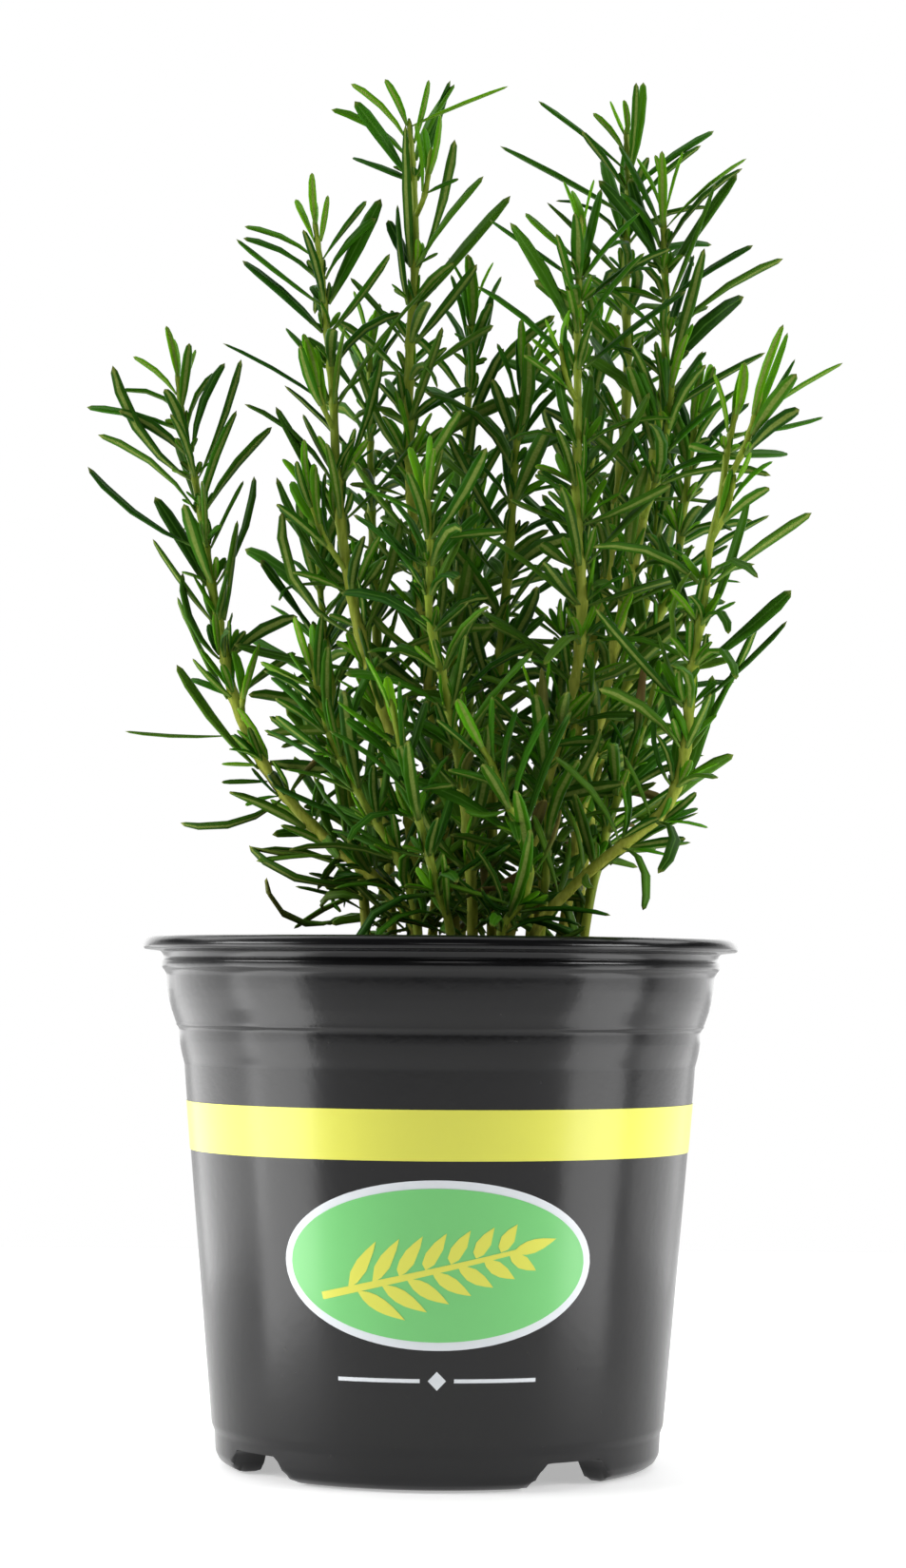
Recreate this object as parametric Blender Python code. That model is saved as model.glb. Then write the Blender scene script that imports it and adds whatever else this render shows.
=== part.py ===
"""Potted rosemary: a round nursery pot, its potting mix and the leafy shoots rooted in it.

Metres, +Z up. The origin is the middle of the pot's foot, on the pot's axis, and -Y is the front.
Each shoot is one grown solid: its stem, its side shoots and its needle leaves.
"""
import math
import random

import bmesh
import bpy
import numpy as np
from mathutils import Vector

MM = 0.001                      # every length below is in millimetres, and is scaled by this once

# ---------------------------------------------------------------- driving dimensions, millimetres
GAP = 0.3                       # kept between pieces that touch
POT_HEIGHT = 100.2
RIM_RADIUS = 57.2
WALL = 0.9                      # pot wall
FOOT_OUTER, FOOT_INNER = 39.0, 36.5
FLOOR_UNDER, FLOOR_TOP = 5.2, 6.2
NOTCH_TOP = 4.8                 # height of the four drain notches in the foot
NOTCH_HALF = 8.0                # half the width of a notch at its top, degrees
NOTCH_FLARE = 6.0               # how much further each sloping side of a notch reaches, degrees
NOTCH_TURN = -8.0               # the notches are turned this far from the diagonals
DRAIN_RADIUS = 4.0
DRAIN_RING = 22.0               # the outer drain holes stand on this radius
MIX_TOP = 90.0                  # mean level of the potting mix
SOCKET_RADIUS = 3.3             # of the hole in the mix that each buried stem stands in
LEAF_WIDTH, LEAF_THICKNESS = 2.6, 0.9
LONGEST = 30.0                  # no leaf is longer
TRIES = 16                      # how often a leaf may be turned or shortened to find room
LEAF_MIDDLE = 0.6               # the leaf is widest here, as a share of its length
NODE_HALF = 0.6                 # half the height of the band of stem that a leaf pair grows from
BARE_STEP = 7.7                 # spacing of the rings of a bare stem
CLEARANCE = 1.15                # least distance between the ribs of two shoots' leaves
OWN_CLEARANCE = 0.85            # and of two leaves of one stem
STEM_CLEARANCE = 2.6            # least distance between a leaf's ribs and another stem's middle
RIM_CLEAR = 104.5               # leaves near and beyond the rim of the pot stay above this
MOUTH_CLEAR = 103.0             # and the others leave the watering space free

# ---------------------------------------------------------------- the shoots
# route: points up the stem, from its buried end to its tip.  turn: which way the first leaf pair
# faces, in degrees.  bare: how much of the stem has no leaves, from its buried end.
SHOOTS = {
    "shoot_far_left": dict(turn=8, bare=34, seed=3,
        route=[(-3, 0, 80), (-3, 0, 95), (-6, 0, 104), (-11, 1, 110), (-21, 3, 118), (-29, 5, 126),
        (-37.5, 8, 138.5), (-41, 9, 147.5), (-43.5, 10, 159), (-46, 12, 171.5), (-48.5, 14, 186.5),
        (-52, 17, 202.5), (-53.5, 19, 213)],
        leaves=[(209, -62, 18, 216, 35), (206, -65.5, 18, 210, 60), (202, -70, 19, 210, -5),
        (193, -72.5, 18, 207, -10), (186, -62.5, 16, 204.5, 8, 45), (206, -51.5, 15, 218, -10),
        (198, -45.5, 18, 215.5, 25, -30), (195, -40, 21, 216.5, -8), (186, -44, 8, 204, 8, 10),
        (178, -71, 17, 193, -28), (166, -52.5, 6, 184, 8, 20), (172, -54.5, 15, 188, -8),
        (180, -41.5, 14, 191, -8), (176, -34, 18, 190.5, -10), (168, -41, 10, 182, 5),
        (167, -57, 11, 178.5, -8), (159, -56.5, 8, 168.5, -15, 25), (159, -54.5, 15, 169.5, -5),
        (158, -64, 12, 166, -18), (155, -58, 8, 159.5, -22), (144, -58, 8, 157.5, -18),
        (144, -53, 13, 152, -10), (142, -54, 5, 146.5, -15, 30), (138, -62, 8, 143.5, -55),
        (154, -32.5, 10, 167.5, -5, 25), (150, -31.5, 14, 159, -5), (161, -42.5, 6, 171.5, 0),
        (125, -50.5, 3, 120.5, -45), (119, -36, 3, 116.5, 5), (134, -22, 7, 132, 8, 30),
        (130, -42, 4, 131, 12)],
        sides=[
            dict(route=[(-39, 8, 141.5), (-39, 5.5, 145), (-38, 5, 151.5)])]),
    "shoot_left_tall": dict(turn=0, bare=36, seed=11,
        route=[(-5, 8, 80), (-5, 8, 95), (-5, 8, 104), (-6, 8, 120.5), (-8.5, 7, 134.5),
        (-12.5, 7, 147.5), (-16, 7, 158.5), (-19, 7, 173), (-21, 8, 189), (-22, 9, 206.5),
        (-23.5, 9, 221.5), (-25, 9, 235), (-26, 9, 242)],
        leaves=[(238, -30, 9, 246, 12), (237, -24, 7, 246, -12), (232, -39, 10, 241, 32),
        (230, -39, 6, 239, 30), (226, -40.5, 9, 238, -8), (218, -39, 7, 234.5, 5, 40),
        (230, -15, 7, 242.5, 25), (232, -15.5, 12, 246.5, 10), (224, -12.5, 11, 245.5, 5, -35),
        (216, -9.5, 6, 233, 5), (208, -6, 6, 228.5, 8, -35), (206, -43, 7, 219, 6),
        (204, -32.5, 13, 220, 5, 30), (200, -33.5, 8, 210, 5), (191, -32.5, 9, 204, 3, 20),
        (190, -28, 5, 203, 0), (188, -42, 10, 198, -8), (182, -40.5, 12, 196.5, -10),
        (177, -35.5, 4, 188.5, -8, 40), (198, -11, 4, 213, -8, -30), (176, -41.5, 7, 177, -30),
        (179, -36, 10, 182, 8), (164, -33, 3, 178.5, 0, 30), (166, -36.5, 10, 179, 10),
        (158, -39.5, 7, 161.5, -28), (162, -34, 11, 171, -5), (168, -12.5, 2, 175, -25, -20)],
        sides=[
            dict(route=[(-21.5, 9, 199.5), (-24, 6, 204.5), (-26, 5, 212.5)]),
            dict(route=[(-19, 7, 171), (-23, 4.5, 177.5), (-27, 3, 188.5)])]),
    "shoot_centre_tall": dict(turn=20, bare=36, seed=5,
        route=[(3, 12, 80), (3, 12, 95), (2.5, 12, 104), (0, 12, 128.5), (-3, 12, 153),
        (-5.5, 12, 176.5), (-7, 12, 196.5), (-7, 12, 217), (-6, 12, 237.5), (-6.5, 12, 250.5),
        (-7.5, 12, 262.5)],
        leaves=[(259, -19, 12, 270, 35), (254, -22, 16, 265.5, 40), (252, -18, 9, 265, 5, 30),
        (259, -4, 11, 270, -8), (256, -2.5, 15, 271.5, 5), (254, 0.5, 15, 271.5, 5, -35),
        (252, 6, 10, 268, 30), (248, 12, 14, 268.5, 5), (248, -13, 7, 262.5, 5, 20),
        (246, -18.5, 16, 258, -10, 30), (242, -9.5, 6, 258, 10, 0), (242, 0.5, 17, 263.5, 5, -30),
        (238, 7.5, 15, 256.5, 12), (236, 13, 17, 256, 10), (232, 5, 9, 250.5, 5, -30),
        (226, 11.5, 15, 248, 0, -30), (228, 18, 18, 252, -5), (234, -12, 9, 244.5, 8),
        (230, -12.5, 15, 242, 5, 30), (232, -25.5, 17, 250.5, 0), (225, -24, 15, 245, 5, 30),
        (217, 7, 8, 232, 5)],
        sides=[
            dict(route=[(-6, 12, 242.5), (-4.5, 8, 245.5), (-3, 7, 255.5)],
            leaves=[(245, 2.5, 5, 249, 15)])]),
    "shoot_centre_front": dict(turn=35, bare=30, seed=6,
        route=[(6, -14, 80), (6, -14, 95), (6, -15, 104), (5, -16, 119.5), (3, -17, 135),
        (0, -18, 149.5), (-2.5, -18, 161), (-2.5, -19, 174), (-3.5, -19, 187.5)],
        leaves=[(174, -4, -23, 187.5, 5), (169, -12, -22, 177.5, -28), (180, -16, -19, 184, 32),
        (176, 7.5, -25, 192, -18), (156, 2.5, -23, 165, -35), (174, 12, -19, 176, 20)]),
    "shoot_front_low_right": dict(turn=80, bare=26, seed=7,
        route=[(10.5, -27, 80), (10.5, -27, 95), (12, -28, 103), (15.5, -28, 107.5),
        (16.5, -28, 112), (14.5, -29, 119), (12, -30, 125.5), (9, -31, 132.5), (4.5, -32, 139)],
        leaves=[(132, 0, -34, 141, 0, 25), (130, 1.5, -35, 131.5, 12), (124, 3, -34, 123, -40),
        (106, 6.5, -33, 106.5, -50), (108, 1.5, -30, 112, -15)]),
    "shoot_front_low_left": dict(turn=10, bare=26, seed=8,
        route=[(2.5, -25, 80), (2.5, -25, 95), (1.5, -25, 103), (-1, -26, 110.5), (-3, -27, 118),
        (-5, -28, 124.5), (-7, -29, 132.5), (-9.5, -30, 144)],
        leaves=[(132, -9, -32, 147, 0), (134, -19, -29, 144, -5, 30), (112, -2.5, -32, 122, -5),
        (126, 1, -32, 130, -25), (117, -27, -27, 126, -35), (128, -3.5, -28, 144, 0)]),
    "shoot_front_tall": dict(turn=-12, bare=36, seed=9,
        route=[(12, -8, 80), (12, -8, 95), (14.5, -9, 106), (18, -10, 121.5), (22.5, -10, 139.5),
        (25.5, -10, 151), (26.5, -10, 164), (25.5, -9, 179), (25.5, -9, 198.5), (25.5, -9, 220.5),
        (26, -9, 239)],
        leaves=[(228, 25.5, -11, 239, 0), (228, 29.5, -5, 244, 0, -20),
        (224, 21.5, -11, 235, 15, 20), (224, 15, -6, 239.5, 5), (222, 14.5, -9, 238, 5, 35),
        (220, 8.5, -6, 239, 5), (228, 38.5, -9, 238, 32), (220, 41.5, -7, 235, 18),
        (202, 46.5, -13, 223, 14, -20), (198, 18.5, -14, 207.5, 5, 30),
        (184, 18, -12, 189, -5, 30), (179, 13, -11, 184.5, -8, 25), (171, 17.5, -14, 175.5, 8, 30),
        (176, 43, -13, 187.5, -12)],
        sides=[
            dict(route=[(25.5, -9, 202.5), (23.5, -12, 206), (22, -13, 213.5)])]),
    "shoot_right_tall": dict(turn=25, bare=40, seed=10,
        route=[(18, 7, 80), (18, 7, 95), (19, 7, 104), (21.5, 8, 122.5), (26.5, 9, 142.5),
        (31, 10, 166), (34.5, 11, 189.5), (36, 12, 212), (35.5, 12, 232.5), (36, 12, 248.5),
        (35.5, 12, 261)],
        leaves=[(254, 18, 14, 265.5, 15), (256, 29, 10, 263.5, 32), (258, 32, 14, 267, 5),
        (259, 36, 10, 266, -5), (252, 38, 9, 269, -5, -15), (252, 40.5, 15, 271.5, 3, -30),
        (250, 54, 14, 260.5, 22), (248, 27.5, 9, 259.5, 5, 30), (244, 10, 15, 258.5, 5),
        (234, 21, 12, 247, 0, 35)]),
    "shoot_right_tall_front": dict(turn=-20, bare=38, seed=12,
        route=[(23, -1, 80), (23, -1, 95), (24, -1, 105), (26.5, -1, 122), (30.5, -1, 144),
        (35, 0, 165), (39, 1, 184), (42, 2, 202.5), (43, 2, 222.5), (42.5, 2, 236.5),
        (42.5, 2, 247.5)],
        leaves=[(242, 45, 2, 254, 0), (242, 42, 0, 253, -5), (238, 58.5, 4, 255.5, 10),
        (236, 57.5, 0, 251, 38), (232, 57, 5, 251, 3, -35), (230, 54.5, -1, 246, 10),
        (238, 36, 0, 256, -5), (232, 31.5, -3, 248.5, 8, 25), (218, 62, -1, 237.5, 5, -25),
        (222, 59, 5, 238, 5), (218, 48, 6, 235, 0), (216, 51, 0, 234, 0), (206, 55, 5, 231, 0, -35)],
        sides=[
            dict(route=[(38.5, 1, 181), (41, -4, 188.5), (43, -6, 199), (44, -7, 211)])]),
    "shoot_right_outer": dict(turn=15, bare=38, seed=13,
        route=[(16, -20, 80), (16, -20, 95), (19, -21, 103.5), (23.5, -22, 108.5),
        (30, -24, 114.5), (36.5, -26, 119.5), (41.5, -27, 124), (44, -27, 129.5), (45.5, -28, 138),
        (46, -28, 146), (47, -28, 153.5), (48.5, -28, 163), (49.5, -28, 172.5), (51.5, -28, 181.5),
        (53, -28, 192), (55.5, -28, 202.5)],
        leaves=[(192, 71.5, -26, 199, -12), (180, 71, -28, 189, -5), (178, 66, -25, 193, 0, -30),
        (172, 65.5, -30, 182.5, -10), (174, 60, -24, 181, 5), (160, 65.5, -28, 164.5, -8),
        (148, 64.5, -28, 158.5, -5), (150, 59, -23, 158.5, -8), (136, 54.5, -26, 150, -5, -30),
        (124, 51.5, -24, 137.5, -12), (114, 41, -22, 120, -50), (162, 39.5, -25, 175.5, 0, 30),
        (180, 45, -32, 192, -5, 25), (154, 35.5, -26, 166.5, -15), (132, 36.5, -27, 143, -25)],
        sides=[
            dict(route=[(51.5, -28, 183.5), (55.5, -30, 190.5), (59, -31, 202)],
            leaves=[(198, 64.5, -29, 213, 0, -30), (199, 61, -32, 214, -5), (198, 66, -28, 208, 5),
            (196, 73, -31, 206, 12), (192, 63, -34, 204.5, -5)]),
            dict(route=[(50, -28, 173.5), (52, -31, 178), (54, -32, 186)])]),
    "shoot_right_inner": dict(turn=40, bare=36, seed=14,
        route=[(25.5, 12, 80), (25.5, 12, 95), (26.5, 12, 104), (28.5, 11, 120.5),
        (31.5, 8, 138.5), (35.5, 6, 148.5), (41, 6, 160.5), (45, 6, 171.5), (47, 7, 185),
        (48.5, 8, 197), (50.5, 9, 208.5)]),
    "shoot_low_right": dict(turn=60, bare=28, seed=15,
        route=[(26.5, -13, 80), (26.5, -13, 95), (28, -13, 106), (30.5, -12.5, 117.5),
        (34, -12, 128.5), (37.5, -12, 138), (40.5, -12, 149)]),
    "shoot_left_low": dict(turn=30, bare=30, seed=16,
        route=[(-4, -12, 80), (-4, -12, 95), (-5, -12.5, 106), (-9, -13, 116.5),
        (-13.5, -13, 123.5), (-17.5, -12, 130.5), (-21, -11, 137.5), (-23.5, -11, 146),
        (-25.5, -10, 156)],
        leaves=[(134, -31.5, -14, 142, -5, 35), (146, -34.5, -13, 152.5, -5),
        (147, -29, -8, 154.5, 0), (120, -32.5, -11, 129.5, -10)]),
    "shoot_centre_low": dict(turn=5, bare=30, seed=17,
        route=[(18.5, -13, 80), (18.5, -13, 95), (19.5, -14, 107.5), (20, -15, 123.5),
        (19, -15, 136), (18, -16, 148.5)],
        leaves=[(137, 19, -19, 151, 0), (135, 11, -19, 147.5, -5, 30)]),
    "shoot_centre_back": dict(turn=33, bare=36, seed=18,
        route=[(10, 20, 80), (10, 20, 95), (10, 20, 104.5), (10, 20, 126), (11, 19, 151.5),
        (13, 18, 177), (14.5, 17, 200.5), (16.5, 16, 216.5)]),
    "shoot_centre_back_tall": dict(turn=12, bare=36, seed=19,
        route=[(-2, 22, 80), (-2, 22, 95), (-1.5, 23, 104.5), (0, 25, 131.5), (2.5, 27, 162.5),
        (4, 28, 194), (5, 28, 217.5), (5.5, 28, 232.5)]),
    "shoot_back_left_tall": dict(turn=28, bare=36, seed=20,
        route=[(-9.5, 19, 80), (-9.5, 19, 95), (-10, 21, 106.5), (-11.5, 26, 131.5),
        (-13.5, 30, 163), (-15, 33, 194.5), (-15.5, 35, 224)]),
    "shoot_back_right_tall": dict(turn=3, bare=36, seed=21,
        route=[(17.5, 22, 80), (17.5, 22, 95), (18, 24, 106.5), (21.5, 29, 131.5), (25.5, 33, 163),
        (29.5, 36, 195), (31.5, 38, 228)]),
    "shoot_back_left": dict(turn=50, bare=34, seed=22,
        route=[(-14.5, 11, 80), (-14.5, 11, 95), (-15, 12, 106), (-18, 17, 126),
        (-21.5, 22, 146.5), (-24.5, 25, 167.5), (-26, 27, 187.5)]),
    "shoot_back_right": dict(turn=22, bare=34, seed=23,
        route=[(27.5, 21, 80), (27.5, 21, 95), (29, 23, 106.5), (33, 28, 126.5), (38, 32, 150.5),
        (42, 34, 176), (44.5, 35, 199)]),
    "shoot_back_centre": dict(turn=44, bare=34, seed=24,
        route=[(4, 30, 80), (4, 30, 95), (4, 32, 106.5), (4.5, 37, 132), (6, 41, 162),
        (6, 42, 191.5)]),
}

for old in list(bpy.data.objects):
    bpy.data.objects.remove(old, do_unlink=True)


def material(name, color, roughness):
    """A Principled material in one colour."""
    made = bpy.data.materials.new(name)
    made.use_nodes = True
    shader = made.node_tree.nodes["Principled BSDF"]
    shader.inputs["Base Color"].default_value = (*color, 1.0)
    shader.inputs["Roughness"].default_value = roughness
    shader.inputs["Metallic"].default_value = 0.0
    return made


def finish_object(name, bm, look, smooth_angle=None):
    """Turns a bmesh in millimetres into a named object in metres."""
    bmesh.ops.scale(bm, vec=(MM, MM, MM), verts=bm.verts)
    mesh = bpy.data.meshes.new(name)
    bm.to_mesh(mesh)
    bm.free()
    mesh.materials.append(look)
    if smooth_angle is not None:
        mesh.shade_smooth()
        mesh.set_sharp_from_angle(angle=math.radians(smooth_angle))
    made = bpy.data.objects.new(name, mesh)
    bpy.context.scene.collection.objects.link(made)
    return made


def guide(made):
    """Marks an object as a cutter, which isn't part of the plant."""
    made.hide_render = True
    made.display_type = "WIRE"
    return made


def cut(target, cutter):
    """Takes the cutter's shape out of the target."""
    boolean = target.modifiers.new("cut", "BOOLEAN")
    boolean.operation = "DIFFERENCE"
    boolean.solver = "EXACT"
    boolean.object = cutter


def add_post(bm, x, y, low, high, radius, sides):
    """Adds an upright closed cylinder."""
    rings = []
    for z in (low, high):
        rings.append([bm.verts.new((x + radius * math.cos(math.tau * i / sides),
                                    y + radius * math.sin(math.tau * i / sides), z))
                      for i in range(sides)])
    for i in range(sides):
        j = (i + 1) % sides
        bm.faces.new((rings[0][i], rings[0][j], rings[1][j], rings[1][i]))
    bm.faces.new(reversed(rings[0]))
    bm.faces.new(rings[1])


# ---------------------------------------------------------------- nursery pot
# Blow-thin black plastic: a rolled rim, a bead under it, a stacking ledge, a tapered wall, and a
# ring foot that four notches divide into four feet.
POT_OUTSIDE = [
    (54.8, POT_HEIGHT), (55.9, 100.0), (56.7, 99.4), (RIM_RADIUS, 98.4), (56.9, 97.7),
    (53.6, 97.3), (53.2, 96.0), (53.6, 95.4), (53.6, 94.3), (53.0, 93.7), (52.6, 92.9),
    (51.8, 88.0), (50.65, 83.9), (50.1, 82.8), (49.8, 79.6), (49.05, 76.2), (43.1, 7.9),
    (42.5, 6.4), (42.3, 2.6), (41.6, 1.2), (40.4, 0.4), (FOOT_OUTER, 0.0)]
POT_INSIDE = [
    (FOOT_INNER, 0.0), (35.8, 0.7), (35.4, FLOOR_UNDER), (12.0, FLOOR_UNDER),
    (12.0, FLOOR_TOP), (40.9, FLOOR_TOP), (42.0, 7.4), (48.1, 76.4), (49.1, 82.6),
    (51.5, 93.0), (52.4, 97.2), (53.8, 99.8)]


def inner_wall(z):
    """Radius of the pot's inner wall at a height."""
    wall = POT_INSIDE[6:]
    return float(np.interp(z, [p[1] for p in wall], [p[0] for p in wall]))


def pot_angles():
    """Columns of the pot, each with whether it stands in a notch: even along the four feet."""
    angles = []
    edge = NOTCH_HALF + NOTCH_FLARE
    for quarter in range(4):
        middle = 90.0 * quarter + 45.0 + NOTCH_TURN
        angles += [(middle + offset, True) for offset in (-NOTCH_HALF, 0.0, NOTCH_HALF)]
        angles += [(middle + edge + (90.0 - 2.0 * edge) * step / 7, False) for step in range(8)]
    return angles


def build_pot():
    bm = bmesh.new()
    profile = POT_OUTSIDE + POT_INSIDE
    columns = []
    for angle, in_notch in pot_angles():
        x = math.cos(math.radians(angle))
        y = math.sin(math.radians(angle))
        column = []
        for radius, z in profile:
            level = max(z, NOTCH_TOP) if in_notch else z
            column.append(bm.verts.new((radius * x, radius * y, level)))
        columns.append(column)
    inner = profile.index((12.0, FLOOR_UNDER))
    for i, column in enumerate(columns):
        after = columns[(i + 1) % len(columns)]
        for j in range(len(profile)):
            k = (j + 1) % len(profile)
            if j != inner:
                bm.faces.new((column[j], column[k], after[k], after[j]))
    under = bm.verts.new((0.0, 0.0, FLOOR_UNDER))
    above = bm.verts.new((0.0, 0.0, FLOOR_TOP))
    for i, column in enumerate(columns):
        after = columns[(i + 1) % len(columns)]
        bm.faces.new((column[inner], under, after[inner]))
        bm.faces.new((column[inner + 1], after[inner + 1], above))
    bmesh.ops.recalc_face_normals(bm, faces=bm.faces)
    pot = finish_object("nursery_pot", bm, material("black_plastic", (0.018, 0.018, 0.019), 0.22), 32)
    holes = bmesh.new()
    places = [(0.0, 0.0)]
    for step in range(4):
        places.append((DRAIN_RING * math.cos(math.tau * step / 4),
                       DRAIN_RING * math.sin(math.tau * step / 4)))
    for x, y in places:
        add_post(holes, x, y, FLOOR_UNDER - 2.0, FLOOR_TOP + 2.0, DRAIN_RADIUS, 12)
    cut(pot, guide(finish_object("drain_holes", holes, pot.data.materials[0])))


# ---------------------------------------------------------------- potting mix
def mix_level(x, y):
    """Height of the lumpy top of the mix."""
    return (MIX_TOP + 0.55 * math.sin(0.31 * x + 1.2) * math.cos(0.27 * y)
            + 0.45 * math.sin(0.19 * x - 0.42 * y + 0.6))


def build_mix():
    bm = bmesh.new()
    columns = 24
    side = [(40.6, FLOOR_TOP + GAP), (inner_wall(8.0) - GAP, 8.0), (inner_wall(76.4) - GAP, 76.4),
            (inner_wall(82.6) - GAP, 82.6)]
    edge = inner_wall(MIX_TOP) - GAP
    rings = []
    for radius, z in side:
        rings.append([(radius, z)] * columns)
    for share in (1.0, 0.8, 0.6, 0.4, 0.2):
        rings.append([(edge * share, None)] * columns)
    grid = []
    for ring in rings:
        row = []
        for i, (radius, z) in enumerate(ring):
            # a touch under the drawn radius keeps flat facets off the pot's inner wall
            x = (radius - 0.1) * math.cos(math.tau * i / columns)
            y = (radius - 0.1) * math.sin(math.tau * i / columns)
            level = mix_level(x, y) if z is None else z
            row.append(bm.verts.new((x, y, level)))
        grid.append(row)
    for low, high in zip(grid, grid[1:]):
        for i in range(columns):
            j = (i + 1) % columns
            bm.faces.new((low[i], low[j], high[j], high[i]))
    bm.faces.new(reversed(grid[0]))
    top = bm.verts.new((0.0, 0.0, mix_level(0.0, 0.0)))
    for i in range(columns):
        bm.faces.new((grid[-1][i], grid[-1][(i + 1) % columns], top))
    mix = finish_object("potting_mix", bm, material("potting_mix", (0.045, 0.028, 0.018), 0.95))
    sockets = bmesh.new()
    for shoot in SHOOTS.values():
        x, y, buried = shoot["route"][0]
        add_post(sockets, x, y, buried - GAP, MIX_TOP + 6.0, SOCKET_RADIUS, 8)
    cut(mix, guide(finish_object("stem_sockets", sockets, mix.data.materials[0])))


# ---------------------------------------------------------------- how a shoot grows
def unit(vector):
    return vector / np.linalg.norm(vector)


def blend(low, high, share):
    """Smooth step from low to high."""
    share = min(max(share, 0.0), 1.0)
    return low + (high - low) * share * share * (3.0 - 2.0 * share)


class Stem:
    """A smooth curve through a route's points, with a frame that doesn't twist."""

    def __init__(self, route, side, step=0.5):
        points = np.array(route, float)
        knots = np.concatenate([[0.0], np.cumsum(np.linalg.norm(np.diff(points, axis=0), axis=1))])
        slopes = np.gradient(points, knots, axis=0)
        self.length = float(knots[-1])
        self.at = np.linspace(0.0, self.length, int(self.length / step) + 2)
        span = np.clip(np.searchsorted(knots, self.at, side="right") - 1, 0, len(knots) - 2)
        width = (knots[span + 1] - knots[span])[:, None]
        u = ((self.at - knots[span])[:, None]) / width
        self.points = ((2 * u**3 - 3 * u**2 + 1) * points[span]
                       + (u**3 - 2 * u**2 + u) * width * slopes[span]
                       + (3 * u**2 - 2 * u**3) * points[span + 1]
                       + (u**3 - u**2) * width * slopes[span + 1])
        self.tangents = np.gradient(self.points, axis=0)
        self.tangents /= np.linalg.norm(self.tangents, axis=1)[:, None]
        self.sides = np.zeros_like(self.points)
        for i, tangent in enumerate(self.tangents):
            side = unit(side - tangent * np.dot(side, tangent))
            self.sides[i] = side

    def frame(self, s):
        """Point, direction, side and cross direction at a distance along the stem."""
        i = int(round(np.clip(s / self.length, 0.0, 1.0) * (len(self.at) - 1)))
        return self.points[i], self.tangents[i], self.sides[i], np.cross(self.tangents[i], self.sides[i])

    def radius(self, s):
        """Stems thicken away from their tip."""
        return 0.6 + 1.35 * (1.0 - math.exp(-(self.length - s) / 90.0))



def leaf_spine(leaf, share):
    """A point on the leaf's middle line, with the direction and the upward side there."""
    turn = leaf["bend"] * share
    reach = leaf["length"] * share
    if abs(turn) > 1e-4:
        ahead = reach * math.sin(turn) / turn
        aside = reach * (1.0 - math.cos(turn)) / turn
    else:
        ahead, aside = reach, 0.0
    point = leaf["base"] + leaf["heading"] * ahead - leaf["up"] * aside
    heading = leaf["heading"] * math.cos(turn) - leaf["up"] * math.sin(turn)
    up = leaf["up"] * math.cos(turn) + leaf["heading"] * math.sin(turn)
    return point, heading, up


def leaf_ribs(leaf):
    """Six straight ribs that stand for the leaf when it is kept clear of its neighbours."""
    across = np.cross(leaf["up"], leaf["heading"])
    middle = leaf_spine(leaf, LEAF_MIDDLE)[0]
    tip = leaf_spine(leaf, 1.0)[0]
    start = leaf["base"] + (middle - leaf["base"]) * 0.22
    half = 0.5 * LEAF_WIDTH * across
    lines = []
    for edge in (-1.0, 0.0, 1.0):
        lines.append((start + half * edge * 0.8, middle + half * edge))
        lines.append((middle + half * edge, tip))
    return np.array(lines)


def rib_distances(first, second):
    """Least distance between each line of one set and each line of another."""
    p, q = first[:, None, 0], second[None, :, 0]
    d1, d2 = first[:, None, 1] - p, second[None, :, 1] - q
    r = p - q
    a, e, f = (d1 * d1).sum(-1), (d2 * d2).sum(-1), (d2 * r).sum(-1)
    c, b = (d1 * r).sum(-1), (d1 * d2).sum(-1)
    det = a * e - b * b
    s = np.where(det > 1e-9, np.clip((b * f - c * e) / np.where(det > 1e-9, det, 1.0), 0, 1), 0.0)
    t = np.clip((b * s + f) / e, 0, 1)
    s = np.clip((b * t - c) / a, 0, 1)
    gap = (p + d1 * s[..., None]) - (q + d2 * t[..., None])
    return np.linalg.norm(gap, axis=-1)


class Room:
    """What already stands in the way of a new leaf: the ribs of leaves and of stems."""

    def __init__(self):
        self.lines = np.zeros((0, 2, 3))
        self.reach = np.zeros(0)
        self.owner = np.zeros(0, int)
        self.woody = np.zeros(0, bool)

    def add(self, lines, reach, owner, woody):
        self.lines = np.concatenate([self.lines, lines])
        self.reach = np.concatenate([self.reach, np.full(len(lines), reach)])
        self.owner = np.concatenate([self.owner, np.full(len(lines), owner)])
        self.woody = np.concatenate([self.woody, np.full(len(lines), woody)])

    def free(self, ribs, owner):
        ends = ribs.reshape(-1, 3)
        out = np.hypot(ends[:, 0], ends[:, 1])
        if (np.abs(ends[:, 1]) > RIM_RADIUS - 1.5).any():
            return False
        if (ends[:, 2] < np.where(out > 45.0, RIM_CLEAR, MOUTH_CLEAR)).any():
            return False
        near = np.linalg.norm(self.lines.mean(axis=1) - ends.mean(axis=0), axis=1) < 40.0
        near &= ~(self.woody & (self.owner == owner))
        if not near.any():
            return True
        least = np.where(self.owner == owner, OWN_CLEARANCE, self.reach)[near]
        return bool((rib_distances(ribs, self.lines[near]) > least).all())


def node_distances(stem, bare):
    """Where the leaf pairs stand, measured back from the tip: crowded there, wider apart below."""
    places = []
    back = 1.6
    while stem.length - back > bare:
        places.append(back)
        back += blend(3.3, 7.6, back / 32.0)
    return places


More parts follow.
